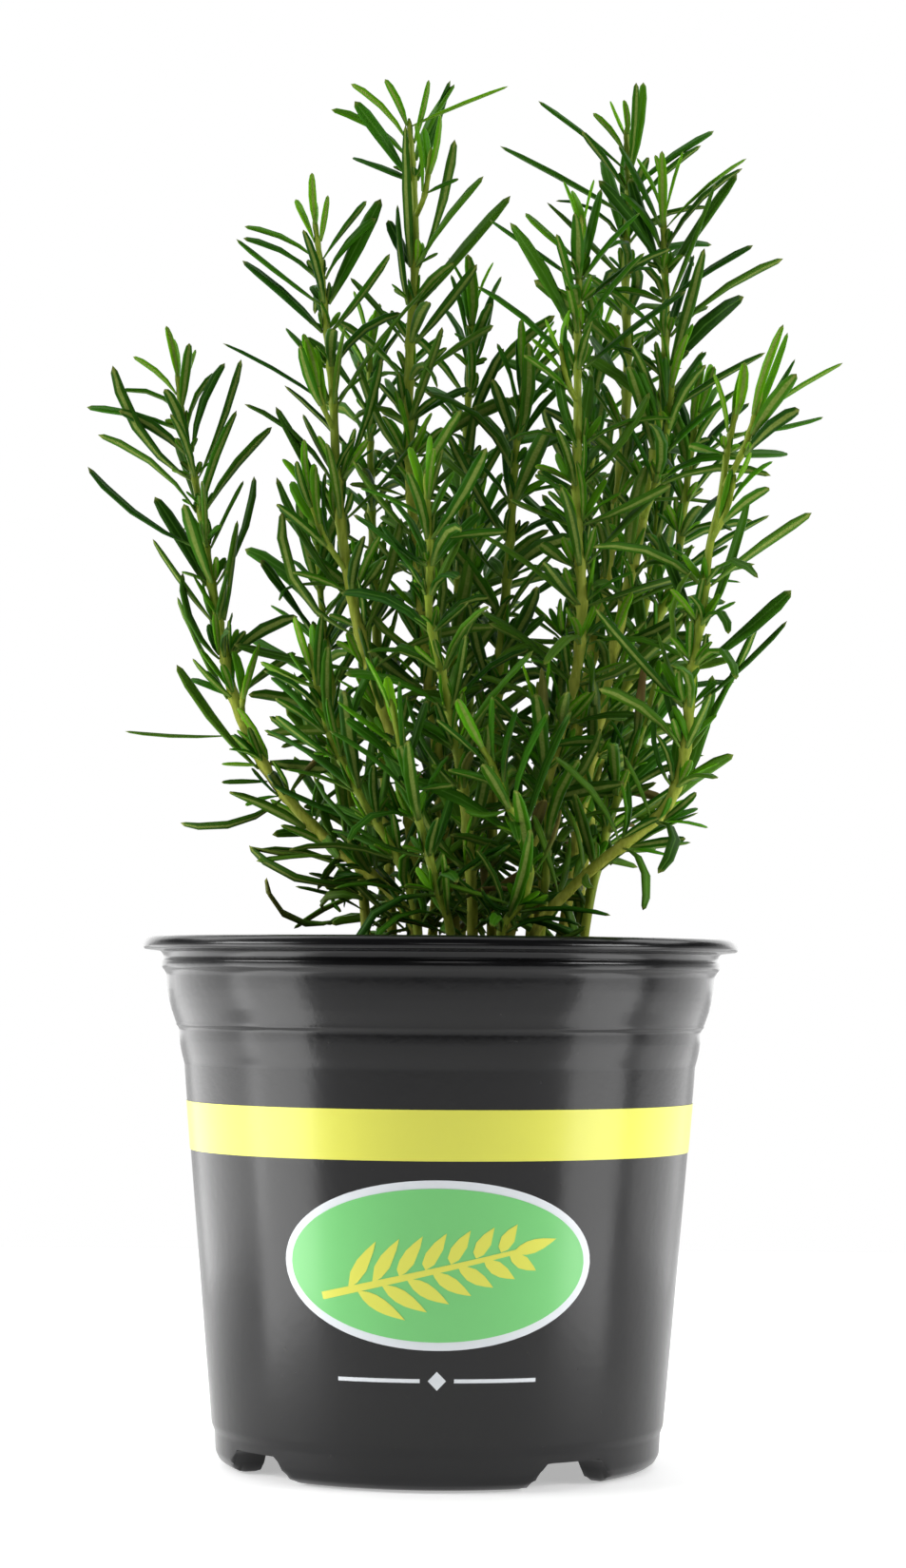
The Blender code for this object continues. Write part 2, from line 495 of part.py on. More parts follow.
def new_leaf(stem, s, outward, rng, loose):
    """A leaf on one side of the stem; loose goes from 0 to 1 as it has to dodge its neighbours."""
    point, along, _, _ = stem.frame(s)
    back = stem.length - s
    swing = rng.gauss(0.0, 0.10 + 0.35 * loose)
    across = np.cross(along, outward)
    outward = outward * math.cos(swing) + across * math.sin(swing)
    spread = math.radians(blend(9.0, 44.0, back / 42.0) + rng.gauss(0.0, 4.0 + 16.0 * loose))
    if back > 70.0:
        spread += math.radians(rng.uniform(0.0, 26.0))
    spread = min(max(spread, math.radians(5.0)), math.radians(100.0))
    heading = along * math.cos(spread) + outward * math.sin(spread)
    up = along * math.sin(spread) - outward * math.cos(spread)
    roll = rng.gauss(0.0, 0.22 + 0.2 * loose)
    cross = np.cross(up, heading)
    up = up * math.cos(roll) + cross * math.sin(roll)
    length = blend(9.5, 23.5, back / 26.0) * rng.uniform(0.84, 1.12) * (1.0 - 0.35 * loose)
    bend = math.radians(blend(14.0, 30.0, back / 20.0) + rng.gauss(0.0, 12.0))
    if back > 60.0:
        bend = math.radians(rng.gauss(14.0, 30.0))
    return dict(base=point + outward * stem.radius(s) * 0.9, heading=heading, up=up,
                length=length, bend=bend)


def stem_lines(stem, start):
    """A few straight lines that stand for the stem."""
    marks = np.linspace(start, stem.length, max(2, int((stem.length - start) / 8.0)))
    path = np.array([stem.frame(s)[0] for s in marks])
    return np.stack([path[:-1], path[1:]], axis=1)


def plan_shoots():
    """Grows every stem first, then the chosen leaves, then the rest into the room that is left."""
    room = Room()
    plan = []
    for order, (name, shoot) in enumerate(SHOOTS.items()):
        turn = math.radians(shoot["turn"])
        main = Stem(shoot["route"], np.array((math.cos(turn), math.sin(turn), 0.0)))
        stems = [dict(stem=main, owner=order * 10, bare=shoot["bare"], host=None,
                      chosen=shoot.get("leaves", []))]
        for number, side_shoot in enumerate(shoot.get("sides", [])):
            route = side_shoot["route"]
            joint = nearest(main, route[0])
            outward = unit(np.array(route[1], float) - route[0])
            start = main.frame(joint)[0] + outward * main.radius(joint)
            side = Stem([start] + route[1:], -main.frame(joint)[1])
            stems.append(dict(stem=side, owner=order * 10 + number + 1, bare=2.2, host=joint,
                              outward=outward, chosen=side_shoot.get("leaves", [])))
        hosted = [entry["host"] for entry in stems[1:]]
        for entry in stems:
            stem = entry["stem"]
            skip = 0.0 if entry["host"] is None else 3.0
            room.add(stem_lines(stem, skip), STEM_CLEARANCE, entry["owner"], True)
            places = [stem.length - back for back in node_distances(stem, entry["bare"])]
            if entry["host"] is None:
                places = [s for s in places if all(abs(s - joint) > 3.8 for joint in hosted)]
            entry["nodes"] = [dict(s=s, leaves={}) for s in places]
        plan.append((name, shoot, stems))
    for name, shoot, stems in plan:
        for entry in stems:
            for chosen in entry["chosen"]:
                set_leaf(entry, chosen, room)
    for name, shoot, stems in plan:
        rng = random.Random(shoot["seed"])
        for entry in stems:
            grow_leaves(entry, room, rng)
    return plan


def nearest(stem, point):
    return float(stem.at[np.argmin(np.linalg.norm(stem.points - np.array(point, float), axis=1))])


def leaf_to(stem, s, outward, tip, bend, roll):
    """A leaf that grows from a face of the stem and bends on its way to a chosen tip."""
    point, along, _, _ = stem.frame(s)
    base = point + outward * stem.radius(s) * 0.9
    reach = float(np.linalg.norm(tip - base))
    chord = (tip - base) / reach
    above = unit(along - chord * np.dot(along, chord))
    above = above * math.cos(roll) + np.cross(above, chord) * math.sin(roll)
    half = bend / 2.0 if abs(bend) > 1e-3 else 1e-3
    return dict(base=base, heading=chord * math.cos(half) + above * math.sin(half),
                up=above * math.cos(half) - chord * math.sin(half),
                length=reach * half / math.sin(half), bend=2.0 * half)


def set_leaf(entry, chosen, room):
    """Grows a chosen leaf from the node and face that suit it best: (foot z, tip x, y, z, bend, roll)."""
    stem = entry["stem"]
    foot, tip, bend = chosen[0], np.array(chosen[1:4], float), math.radians(chosen[4])
    roll = math.radians(chosen[5]) if len(chosen) > 5 else 0.0
    seats = []
    for node in entry["nodes"]:
        point, along, side, cross = stem.frame(node["s"])
        aim = tip - point
        aim = unit(aim - along * np.dot(aim, along))
        for face, outward in enumerate((side, cross, -side, -cross)):
            fit = float(np.dot(aim, outward))
            if fit > 0.5 and face not in node["leaves"] and np.dot(tip - point, along) > -9.0:
                seats.append((abs(point[2] - foot) + 6.0 * (1.0 - fit), len(seats), node, face, outward))
    seats.sort(key=lambda seat: seat[:2])
    for _, _, node, face, outward in seats[:3]:
        for shift in (0.0, 2.0, -2.0, 4.0, -4.0, 6.0, -6.0, 8.0, -8.0):
            leaf = leaf_to(stem, node["s"], outward, tip + np.array((0.0, shift, 0.0)), bend, roll)
            ribs = leaf_ribs(leaf)
            if leaf["length"] < LONGEST and room.free(ribs, entry["owner"]):
                room.add(ribs, CLEARANCE, entry["owner"], False)
                node["leaves"][face] = leaf
                return


def grow_leaves(entry, room, rng):
    """Opposite pairs, each turned a quarter from the last; a leaf with no room is left off."""
    stem = entry["stem"]
    quarter = 0
    for node in reversed(entry["nodes"]):
        _, _, side, cross = stem.frame(node["s"])
        if node["leaves"]:
            quarter = min(node["leaves"]) % 2
        ways = ((0, side), (2, -side)) if quarter == 0 else ((1, cross), (3, -cross))
        quarter = 1 - quarter
        for face, outward in ways:
            if face in node["leaves"]:
                continue
            for attempt in range(TRIES):
                leaf = new_leaf(stem, node["s"], outward, rng, attempt / TRIES)
                ribs = leaf_ribs(leaf)
                if room.free(ribs, entry["owner"]):
                    room.add(ribs, CLEARANCE, entry["owner"], False)
                    node["leaves"][face] = leaf
                    break


# ---------------------------------------------------------------- a shoot's solid
def stem_ring(bm, stem, s, thin=1.0):
    """Four corners of the square young stem."""
    point, _, side, cross = stem.frame(s)
    radius = stem.radius(s) * 1.15 * thin
    ring = []
    for corner in (-45.0, 45.0, 135.0, 225.0):
        angle = math.radians(corner)
        ring.append(bm.verts.new(point + radius * (side * math.cos(angle) + cross * math.sin(angle))))
    return ring


def join_rings(bm, low, high, skip=()):
    for i in range(4):
        if i not in skip:
            bm.faces.new((low[i], low[(i + 1) % 4], high[(i + 1) % 4], high[i]))


def add_leaf(bm, foot, leaf):
    """A flat tapered leaf that grows from the four corners of a stem face."""
    middle, heading, up = leaf_spine(leaf, LEAF_MIDDLE)
    across = np.cross(up, heading) * LEAF_WIDTH / 2
    thick = up * LEAF_THICKNESS / 2
    ring = [bm.verts.new(middle + across * x + thick * z) for x, z in ((-1, -1), (1, -1), (1, 1), (-1, 1))]
    join_rings(bm, foot, ring)
    tip = bm.verts.new(leaf_spine(leaf, 1.0)[0])
    for i in range(4):
        bm.faces.new((ring[i], ring[(i + 1) % 4], tip))


def add_stem(bm, entry, stems, start):
    """Builds a stem from its first ring up, with what grows from each node."""
    stem = entry["stem"]
    marks = [dict(s=node["s"], leaves=node["leaves"], shoot=None) for node in entry["nodes"]]
    for other in stems:
        if entry["host"] is None and other["host"] is not None:
            marks.append(dict(s=other["host"], leaves={}, shoot=other))
    marks.sort(key=lambda mark: mark["s"])
    ring = start
    reached = 0.0
    for mark in marks:
        low = stem_ring(bm, stem, mark["s"] - NODE_HALF)
        high = stem_ring(bm, stem, mark["s"] + NODE_HALF)
        spans = max(1, round((mark["s"] - reached) / BARE_STEP))
        for step in range(1, spans):
            between = stem_ring(bm, stem, reached + (mark["s"] - reached) * step / spans)
            join_rings(bm, ring, between)
            ring = between
        reached = mark["s"]
        join_rings(bm, ring, low)
        grown = dict(mark["leaves"])
        face = None
        if mark["shoot"] is not None:
            _, _, side, cross = stem.frame(mark["s"])
            ways = (side, cross, -side, -cross)
            face = max(range(4), key=lambda i: float(np.dot(ways[i], mark["shoot"]["outward"])))
        join_rings(bm, low, high, skip=set(grown) | {face})
        for i, leaf in grown.items():
            add_leaf(bm, (low[i], low[(i + 1) % 4], high[(i + 1) % 4], high[i]), leaf)
        if face is not None:
            foot = (low[face], low[(face + 1) % 4], high[(face + 1) % 4], high[face])
            side_ring = stem_ring(bm, mark["shoot"]["stem"], 1.4)
            join_rings(bm, foot, side_ring)
            add_stem(bm, mark["shoot"], stems, side_ring)
        ring = high
    last = stem_ring(bm, stem, stem.length - 0.5, 0.7)
    join_rings(bm, ring, last)
    tip = bm.verts.new(stem.points[-1] + stem.tangents[-1] * 0.6)
    for i in range(4):
        bm.faces.new((last[i], last[(i + 1) % 4], tip))


def build_shoots():
    green = material("rosemary_green", (0.055, 0.16, 0.03), 0.5)
    for name, _, stems in plan_shoots():
        bm = bmesh.new()
        base = stem_ring(bm, stems[0]["stem"], 0.0)
        bm.faces.new(reversed(base))
        add_stem(bm, stems[0], stems, base)
        finish_object(name, bm, green)


build_pot()
build_mix()
build_shoots()
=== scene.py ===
import math
import random

import bmesh
import bpy
import numpy as np
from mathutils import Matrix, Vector


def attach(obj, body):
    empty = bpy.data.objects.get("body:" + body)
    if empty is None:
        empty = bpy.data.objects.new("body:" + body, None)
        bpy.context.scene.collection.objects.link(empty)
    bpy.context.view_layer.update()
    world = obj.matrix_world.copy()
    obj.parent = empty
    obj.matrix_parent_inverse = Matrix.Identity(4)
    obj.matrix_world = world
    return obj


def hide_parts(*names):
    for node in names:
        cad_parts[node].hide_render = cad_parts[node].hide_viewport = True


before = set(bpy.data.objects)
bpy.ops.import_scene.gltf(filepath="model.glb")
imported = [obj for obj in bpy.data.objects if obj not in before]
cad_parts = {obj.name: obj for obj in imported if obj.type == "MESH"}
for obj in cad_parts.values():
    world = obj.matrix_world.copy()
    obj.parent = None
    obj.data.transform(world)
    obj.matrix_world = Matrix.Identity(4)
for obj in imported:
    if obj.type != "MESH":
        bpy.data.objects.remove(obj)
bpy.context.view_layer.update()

# ============================================================ studio
# A white table in front of a white wall.  Soft lights stand left, right, above, in front and behind,
# with two more high at the back, and four low bright cards put the upright streaks on the pot's gloss.
LENS = 84.6                     # millimetres, on a 36 mm sensor
CAMERA_AT = (0.0024, -0.710, 0.0926)
CAMERA_PITCH, CAMERA_ROLL = 93.007, -0.4    # degrees; a pitch of 90 is level
TABLE_HALF, TABLE_LEVEL = 0.55, -0.0002     # metres; the table is a hair below the pot's feet
TABLE_GLOW = 0.42               # the table is lit from below, so it throws hardly any shadow
SOFT_LIGHTS = {                 # place, target, width, height, brightness of the panel
    "left_soft_light": ((-0.98, -0.16, 0.55), (0.0, 0.0, 0.15), 0.60, 0.26, 11.5),
    "right_soft_light": ((0.95, -0.36, 0.55), (0.0, 0.0, 0.15), 0.50, 0.28, 11.0),
    "top_soft_light": ((0.0, 0.25, 1.10), (0.0, 0.0, 0.15), 0.9, 0.8, 1.0),
    "back_left_high": ((-0.58, 0.42, 0.88), (0.0, 0.0, 0.15), 0.5, 0.6, 2.8),
    "back_right_high": ((0.58, 0.36, 0.88), (0.0, 0.0, 0.15), 0.5, 0.6, 2.6),
    "front_soft_light": ((0.10, -1.40, 0.80), (0.0, 0.0, 0.14), 0.6, 0.5, 1.6),
    "back_soft_light": ((0.0, 1.30, 0.50), (0.0, 0.0, 0.12), 1.6, 1.0, 1.3),
    "left_card": ((-0.125, -0.066, 0.046), (0.0, -0.066, 0.046), 0.078, 0.11, 3.9),
    "right_card": ((0.125, -0.067, 0.046), (0.0, -0.067, 0.046), 0.068, 0.11, 2.9),
    "left_back_card": ((-0.20, 0.07, 0.048), (0.0, 0.00, 0.048), 0.24, 0.09, 1.9),
    "right_back_card": ((0.20, 0.10, 0.048), (0.0, 0.02, 0.048), 0.20, 0.09, 1.0),
}
ROOM_LIGHT = 0.05               # of the room on the plant; the white wall itself is at 1
WALL_LIGHT = 0.9                # of the lit wall behind it, near the level of the table
WALL_FADE_ROUND = (0.0, 0.5)    # how far towards the back the wall's light comes in
WALL_FADE_UP = (0.35, 0.15)     # and how steep, up or down, it still shines

scene = bpy.context.scene
scene.view_settings.view_transform = "Standard"

camera = bpy.data.objects.new("camera", bpy.data.cameras.new("camera"))
scene.collection.objects.link(camera)
camera.location = CAMERA_AT
camera.rotation_euler = (math.radians(CAMERA_PITCH), math.radians(CAMERA_ROLL), 0.0)
camera.data.lens = LENS
camera.data.sensor_width = 36.0
camera.data.clip_start = 0.01
scene.camera = camera


def node(tree, kind, **settings):
    """Adds a node and sets its own options, such as operation or data_type."""
    made = tree.nodes.new(kind)
    for option, value in settings.items():
        setattr(made, option, value)
    return made


def plug(tree, socket, value):
    """Fills one input with a socket to link or a plain value."""
    if isinstance(value, bpy.types.NodeSocket):
        tree.links.new(value, socket)
    else:
        socket.default_value = value


def feed(tree, made, **inputs):
    """Fills a node's inputs by index (i0, i1 ...)."""
    for key, value in inputs.items():
        plug(tree, made.inputs[int(key[1:])], value)
    return made


def math_node(tree, operation, first, second=0.0):
    made = feed(tree, node(tree, "ShaderNodeMath", operation=operation), i0=first, i1=second)
    return made.outputs[0]


def remap(tree, value, low, high, to_low=0.0, to_high=1.0, curve="SMOOTHSTEP"):
    """A value stretched from one range to another, smoothly or in a straight line."""
    made = node(tree, "ShaderNodeMapRange", interpolation_type=curve)
    feed(tree, made, i0=value, i1=low, i2=high, i3=to_low, i4=to_high)
    return made.outputs[0]


# The wall is plain white to look at; as a light it shines from behind and near the table's level.
white_room = bpy.data.worlds.new("white_room")
scene.world = white_room
white_room.use_nodes = True
air = white_room.node_tree
wall = air.nodes["Background"]
wall.inputs["Color"].default_value = (1.0, 1.0, 1.0, 1.0)
seen = node(air, "ShaderNodeLightPath").outputs["Is Camera Ray"]
direction = feed(air, node(air, "ShaderNodeSeparateXYZ"),
                 i0=node(air, "ShaderNodeTexCoord").outputs["Generated"])
behind = remap(air, direction.outputs[1], *WALL_FADE_ROUND, curve="LINEAR")
near_level = remap(air, math_node(air, "ABSOLUTE", direction.outputs[2]), *WALL_FADE_UP, curve="LINEAR")
shining = remap(air, math_node(air, "MULTIPLY", behind, near_level), 0.0, 1.0, ROOM_LIGHT, WALL_LIGHT,
                curve="LINEAR")
air.links.new(remap(air, seen, 0.0, 1.0, shining, 1.0, curve="LINEAR"), wall.inputs["Strength"])

for name, (place, target, width, height, brightness) in SOFT_LIGHTS.items():
    panel = bpy.data.lights.new(name, "AREA")
    panel.shape = "RECTANGLE"
    panel.size = width
    panel.size_y = height
    panel.energy = brightness * width * height * math.pi
    lamp = bpy.data.objects.new(name, panel)
    lamp.location = place
    lamp.rotation_euler = (Vector(target) - Vector(place)).to_track_quat("-Z", "Y").to_euler()
    lamp.visible_camera = False
    scene.collection.objects.link(lamp)


def new_material(name, roughness):
    """A material with its Principled shader; the roughness is the plain value it starts from."""
    made = bpy.data.materials.new(name)
    made.use_nodes = True
    shader = made.node_tree.nodes["Principled BSDF"]
    shader.inputs["Roughness"].default_value = roughness
    return made, made.node_tree, shader


def shader_group(name, inputs, outputs):
    """An empty shader node group with named inputs (and their first values) and outputs."""
    tree = bpy.data.node_groups.new(name, "ShaderNodeTree")
    for label, kind, value in inputs:
        socket = tree.interface.new_socket(label, in_out="INPUT", socket_type=kind)
        if value is not None:
            socket.default_value = value
    for label, kind in outputs:
        tree.interface.new_socket(label, in_out="OUTPUT", socket_type=kind)
    return tree, node(tree, "NodeGroupInput"), node(tree, "NodeGroupOutput")


def place_group(tree, group, **values):
    """Puts a shader group in a material with its own values."""
    made = node(tree, "ShaderNodeGroup", node_tree=group)
    for label, value in values.items():
        plug(tree, made.inputs[label], value)
    return made


def mix_colours(tree, share, first, second):
    """The colour that lies between two colours, each a socket or a plain colour."""
    made = node(tree, "ShaderNodeMix", data_type="RGBA")
    feed(tree, made, i0=share, i6=first, i7=second)
    return made.outputs[2]


# Uneven patches at one size, from the place on the object, as colour masks and as height.
patches, patches_in, patches_out = shader_group(
    "uneven_patches",
    [("Place", "NodeSocketVector", None), ("Size", "NodeSocketFloat", 100.0),
     ("Contrast", "NodeSocketFloat", 0.2)],
    [("Mask", "NodeSocketFloat"), ("Height", "NodeSocketFloat")])
spots = feed(patches, node(patches, "ShaderNodeTexNoise"), i0=patches_in.outputs["Place"],
             i2=patches_in.outputs["Size"], i3=4.0, i4=0.6)
low_edge = math_node(patches, "SUBTRACT", 0.5, patches_in.outputs["Contrast"])
high_edge = math_node(patches, "ADD", 0.5, patches_in.outputs["Contrast"])
patches.links.new(remap(patches, spots.outputs[0], low_edge, high_edge), patches_out.inputs["Mask"])
patches.links.new(spots.outputs[0], patches_out.inputs["Height"])


def object_place(tree, stretch=(1.0, 1.0, 1.0)):
    """The place on the object, stretched along its axes where a pattern has a direction."""
    place = node(tree, "ShaderNodeTexCoord").outputs["Object"]
    if stretch == (1.0, 1.0, 1.0):
        return place
    turned = feed(tree, node(tree, "ShaderNodeMapping"), i0=place)
    turned.inputs["Scale"].default_value = stretch
    return turned.outputs[0]


def bump(tree, shader, height, distance, strength):
    """Fine relief; the distance is the depth of the relief in metres."""
    made = feed(tree, node(tree, "ShaderNodeBump"), i0=strength, i1=distance, i3=height)
    tree.links.new(made.outputs[0], shader.inputs["Normal"])


def add_object(name, mesh, *materials):
    for look in materials:
        mesh.materials.append(look)
    made = bpy.data.objects.new(name, mesh)
    scene.collection.objects.link(made)
    return made


def declare(piece, slot, *nodes):
    """Every piece is part of the one rigid body; some stand for pieces of the frame."""
    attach(piece, "root")
    if nodes:
        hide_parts(*nodes)


table_mesh = bpy.data.meshes.new("table")
table_mesh.from_pydata([(x * TABLE_HALF, y * TABLE_HALF, TABLE_LEVEL)
                        for x, y in ((-1, -1), (1, -1), (1, 1), (-1, 1))], [], [(0, 1, 2, 3)])
white, white_tree, white_shader = new_material("white_table", 0.7)
grime = place_group(white_tree, patches, Place=object_place(white_tree), Size=1.5, Contrast=0.3)
white_tree.links.new(mix_colours(white_tree, grime.outputs["Mask"], (0.72, 0.72, 0.72, 1.0),
                                 (0.75, 0.75, 0.75, 1.0)), white_shader.inputs["Base Color"])
white_shader.inputs["Emission Color"].default_value = (1.0, 1.0, 1.0, 1.0)
white_shader.inputs["Emission Strength"].default_value = TABLE_GLOW
add_object("table", table_mesh, white)

# ============================================================ nursery pot
# A thin blow-moulded pot in glossy black plastic: rolled rim, a bead under it, a stacking ledge, a
# tapered wall, and a ring foot that four flared notches divide into four feet.
MM = 0.001
POT_HEIGHT = 100.2
RIM_RADIUS = 57.2
FLOOR_UNDER, FLOOR_TOP = 5.2, 6.2
NOTCH_TOP = 4.8
NOTCH_HALF, NOTCH_FLARE, NOTCH_TURN = 8.0, 6.0, -8.0     # degrees
DRAIN_RADIUS, DRAIN_RING, DRAIN_SIDES = 4.0, 22.0, 32
WALL_TOP, WALL_FOOT = (49.05, 76.2), (43.1, 7.9)         # radius and height of the tapered wall's ends
POT_COLUMNS = 240
ROUNDED_SHARE = 0.42            # of a side of the profile that its rounded corner may take
POT_OUTSIDE = [
    (54.8, POT_HEIGHT), (55.9, 100.0), (56.7, 99.4), (RIM_RADIUS, 98.4), (56.9, 97.7),
    (53.6, 97.3), (53.2, 96.0), (53.6, 95.4), (53.6, 94.3), (53.0, 93.7), (52.7, 93.0),
    (52.6, 91.6), (52.45, 90.2), (52.15, 88.4), (51.7, 86.6), (51.1, 84.9), (50.75, 83.9),
    (50.65, 83.3), (50.15, 82.8), (50.1, 81.6), (50.0, 80.4), (49.8, 79.2), (49.5, 77.8),
    WALL_TOP, WALL_FOOT,
    (42.5, 6.4), (42.3, 2.6), (41.6, 1.2), (40.4, 0.4), (39.0, 0.0)]
POT_INSIDE = [
    (36.5, 0.0), (35.8, 0.7), (35.4, FLOOR_UNDER), (12.0, FLOOR_UNDER),
    (12.0, FLOOR_TOP), (40.9, FLOOR_TOP), (42.0, 7.4), (48.1, 76.4), (49.1, 82.6),
    (51.5, 93.0), (52.4, 97.2), (53.8, 99.8)]


def blend(low, high, share):
    """Smooth step from low to high."""
    share = min(max(share, 0.0), 1.0)
    return low + (high - low) * share * share * (3.0 - 2.0 * share)


def rounded(profile, reach=0.45, steps=3):
    """The profile with each corner rounded off over a short reach, less than half of either side."""
    made = []
    for before, corner, after in zip(profile[-1:] + profile[:-1], profile, profile[1:] + profile[:1]):
        corner = np.array(corner)
        back, ahead = np.array(before) - corner, np.array(after) - corner
        first = corner + back * min(ROUNDED_SHARE, reach / np.linalg.norm(back))
        last = corner + ahead * min(ROUNDED_SHARE, reach / np.linalg.norm(ahead))
        for step in range(steps + 1):
            t = step / steps
            made.append(tuple((1 - t) ** 2 * first + 2 * t * (1 - t) * corner + t * t * last))
    return made


def notch_level(angle):
    """Height that the foot is cut to at an angle: the roof of a notch, its flared side, or nothing."""
    off = abs((angle - 45.0 - NOTCH_TURN + 45.0) % 90.0 - 45.0)
    return NOTCH_TOP * (1.0 - blend(0.0, 1.0, (off - NOTCH_HALF) / NOTCH_FLARE))


def ring_of(bm, radius, z, count, x=0.0, y=0.0):
    """A level ring of points round an upright axis, in millimetres."""
    return [bm.verts.new(((x + radius * math.cos(math.tau * i / count)) * MM,
                          (y + radius * math.sin(math.tau * i / count)) * MM, z * MM))
            for i in range(count)]


def join_rings(bm, low, high):
    """Four-sided faces between two closed rings of points."""
    for i in range(len(low)):
        j = (i + 1) % len(low)
        bm.faces.new((low[i], low[j], high[j], high[i]))


def join_to_point(bm, ring, tip):
    """Three-sided faces between a closed ring of points and one point."""
    for i in range(len(ring)):
        bm.faces.new((ring[i], ring[(i + 1) % len(ring)], tip))


def finished(bm, name, smooth=True):
    """What has been built, as a mesh."""
    mesh = bpy.data.meshes.new(name)
    bm.to_mesh(mesh)
    bm.free()
    if smooth:
        mesh.shade_smooth()
    return mesh


pot_profile = rounded(POT_OUTSIDE + POT_INSIDE)
shell = bmesh.new()
columns = []
for step in range(POT_COLUMNS):
    angle = 360.0 * step / POT_COLUMNS
    turn = Vector((math.cos(math.radians(angle)), math.sin(math.radians(angle)), 0.0))
    level = notch_level(angle)
    columns.append([shell.verts.new(turn * radius * MM + Vector((0.0, 0.0, max(z, level) * MM)))
                    for radius, z in pot_profile])
hub = min(range(len(pot_profile)), key=lambda i: (pot_profile[i][0], pot_profile[i][1]))
hub_top = min(range(len(pot_profile)), key=lambda i: (pot_profile[i][0], -pot_profile[i][1]))
for step, column in enumerate(columns):
    after = columns[(step + 1) % POT_COLUMNS]
    for j in range(len(pot_profile)):
        k = (j + 1) % len(pot_profile)
        if not min(hub, hub_top) <= j < max(hub, hub_top):
            shell.faces.new((column[j], column[k], after[k], after[j]))
for index, z in ((hub, FLOOR_UNDER), (hub_top, FLOOR_TOP)):
    middle = shell.verts.new((0.0, 0.0, z * MM))
    for step, column in enumerate(columns):
        shell.faces.new((column[index], middle, columns[(step + 1) % POT_COLUMNS][index]))
loose = [v for v in shell.verts if not v.link_faces]
bmesh.ops.delete(shell, geom=loose, context="VERTS")
bmesh.ops.recalc_face_normals(shell, faces=shell.faces)
pot_mesh = finished(shell, "pot_shell")

# Glossy black plastic with faint patches of handling, a little dust and a slight ripple.
black_plastic, plastic_tree, plastic_shader = new_material("black_plastic", 0.2)
handling = place_group(plastic_tree, patches, Place=object_place(plastic_tree), Size=38.0, Contrast=0.25)
dust = place_group(plastic_tree, patches, Place=object_place(plastic_tree), Size=900.0, Contrast=0.08)
speck = math_node(plastic_tree, "MULTIPLY", remap(plastic_tree, dust.outputs["Height"], 0.69, 0.75),
                  0.12)
scuffed = mix_colours(plastic_tree, handling.outputs["Mask"], (0.0035, 0.0035, 0.0040, 1.0),
                      (0.0056, 0.0056, 0.0062, 1.0))
plastic_tree.links.new(mix_colours(plastic_tree, speck, scuffed, (0.16, 0.155, 0.15, 1.0)),
                       plastic_shader.inputs["Base Color"])
plastic_tree.links.new(remap(plastic_tree, handling.outputs["Height"], 0.2, 0.8, 0.17, 0.27),
                       plastic_shader.inputs["Roughness"])
plastic_shader.inputs["Specular IOR Level"].default_value = 0.36
ripple = place_group(plastic_tree, patches, Place=object_place(plastic_tree), Size=520.0, Contrast=0.3)
bump(plastic_tree, plastic_shader, ripple.outputs["Height"], 0.00006, 0.5)

pot = add_object("pot_shell", pot_mesh, black_plastic)
drains = bmesh.new()
for x, y in [(0.0, 0.0)] + [(DRAIN_RING * math.cos(math.tau * step / 4),
                             DRAIN_RING * math.sin(math.tau * step / 4)) for step in range(4)]:
    under, over = [ring_of(drains, DRAIN_RADIUS, z, DRAIN_SIDES, x, y)
                   for z in (FLOOR_UNDER - 2.0, FLOOR_TOP + 2.0)]
    join_rings(drains, under, over)
    drains.faces.new(reversed(under))
    drains.faces.new(over)
drain_cutter = add_object("drain_cutter", finished(drains, "drain_cutter", smooth=False))


def settle(piece):
    """Turns a piece and its modifiers into a plain mesh, and takes the modifiers off."""
    bpy.context.view_layer.update()
    evaluated = piece.evaluated_get(bpy.context.evaluated_depsgraph_get())
    plain = bpy.data.meshes.new_from_object(evaluated)
    piece.modifiers.clear()
    piece.data = plain
    return piece


boring = pot.modifiers.new("drain_holes", "BOOLEAN")
boring.operation = "DIFFERENCE"
boring.solver = "EXACT"
boring.object = drain_cutter
settle(pot)
bpy.data.objects.remove(drain_cutter, do_unlink=True)
pot.data.shade_smooth()
pot.data.set_sharp_from_angle(angle=math.radians(50.0))
declare(pot, "pot_plastic", "nursery_pot")

# ============================================================ printing on the pot
# Opaque screen-print inks on the outside of the wall: a yellow band all round, and on the front a
# green oval in a white border with a yellow sprig, above a thin white rule.
BAND_LOW, BAND_HIGH = 59.7, 68.9
INK_LIFT, INK_COAT = 0.05, 0.09        # the ink stands off the wall, and each coat is this thick
PRINT_STEP = 1.0                       # spacing of the facets round the wall
BADGE_MIDDLE = 41.0
BADGE_HALF_WIDTH, BADGE_HALF_HEIGHT, BADGE_BORDER = 29.5, 15.3, 1.5
SPRIG_PAIRS = 7                        # pairs of leaves on the badge's sprig
RULE_LEVEL, RULE_HALF = 20.25, 0.35    # middle height of the thin rule, and half its thickness
RULE_PARTS = ((-19.0, -3.2), (3.2, 19.0))
DIAMOND_HALF = 1.7
PRINT_SHARP = math.radians(40.0)       # the edges of a coat of ink are sharper than this


def wall_radius(z):
    """Radius of the outside of the tapered wall at a height."""
    rise = (z - WALL_FOOT[1]) / (WALL_TOP[1] - WALL_FOOT[1])
    return WALL_FOOT[0] + (WALL_TOP[0] - WALL_FOOT[0]) * rise


def wall_point(along, z, lift):
    """A point on the wall: distance round it from the front, height, and distance off it."""
    turn = along / wall_radius(BADGE_MIDDLE)
    radius = (wall_radius(z) + lift) * MM
    return Vector((radius * math.sin(turn), -radius * math.cos(turn), z * MM))


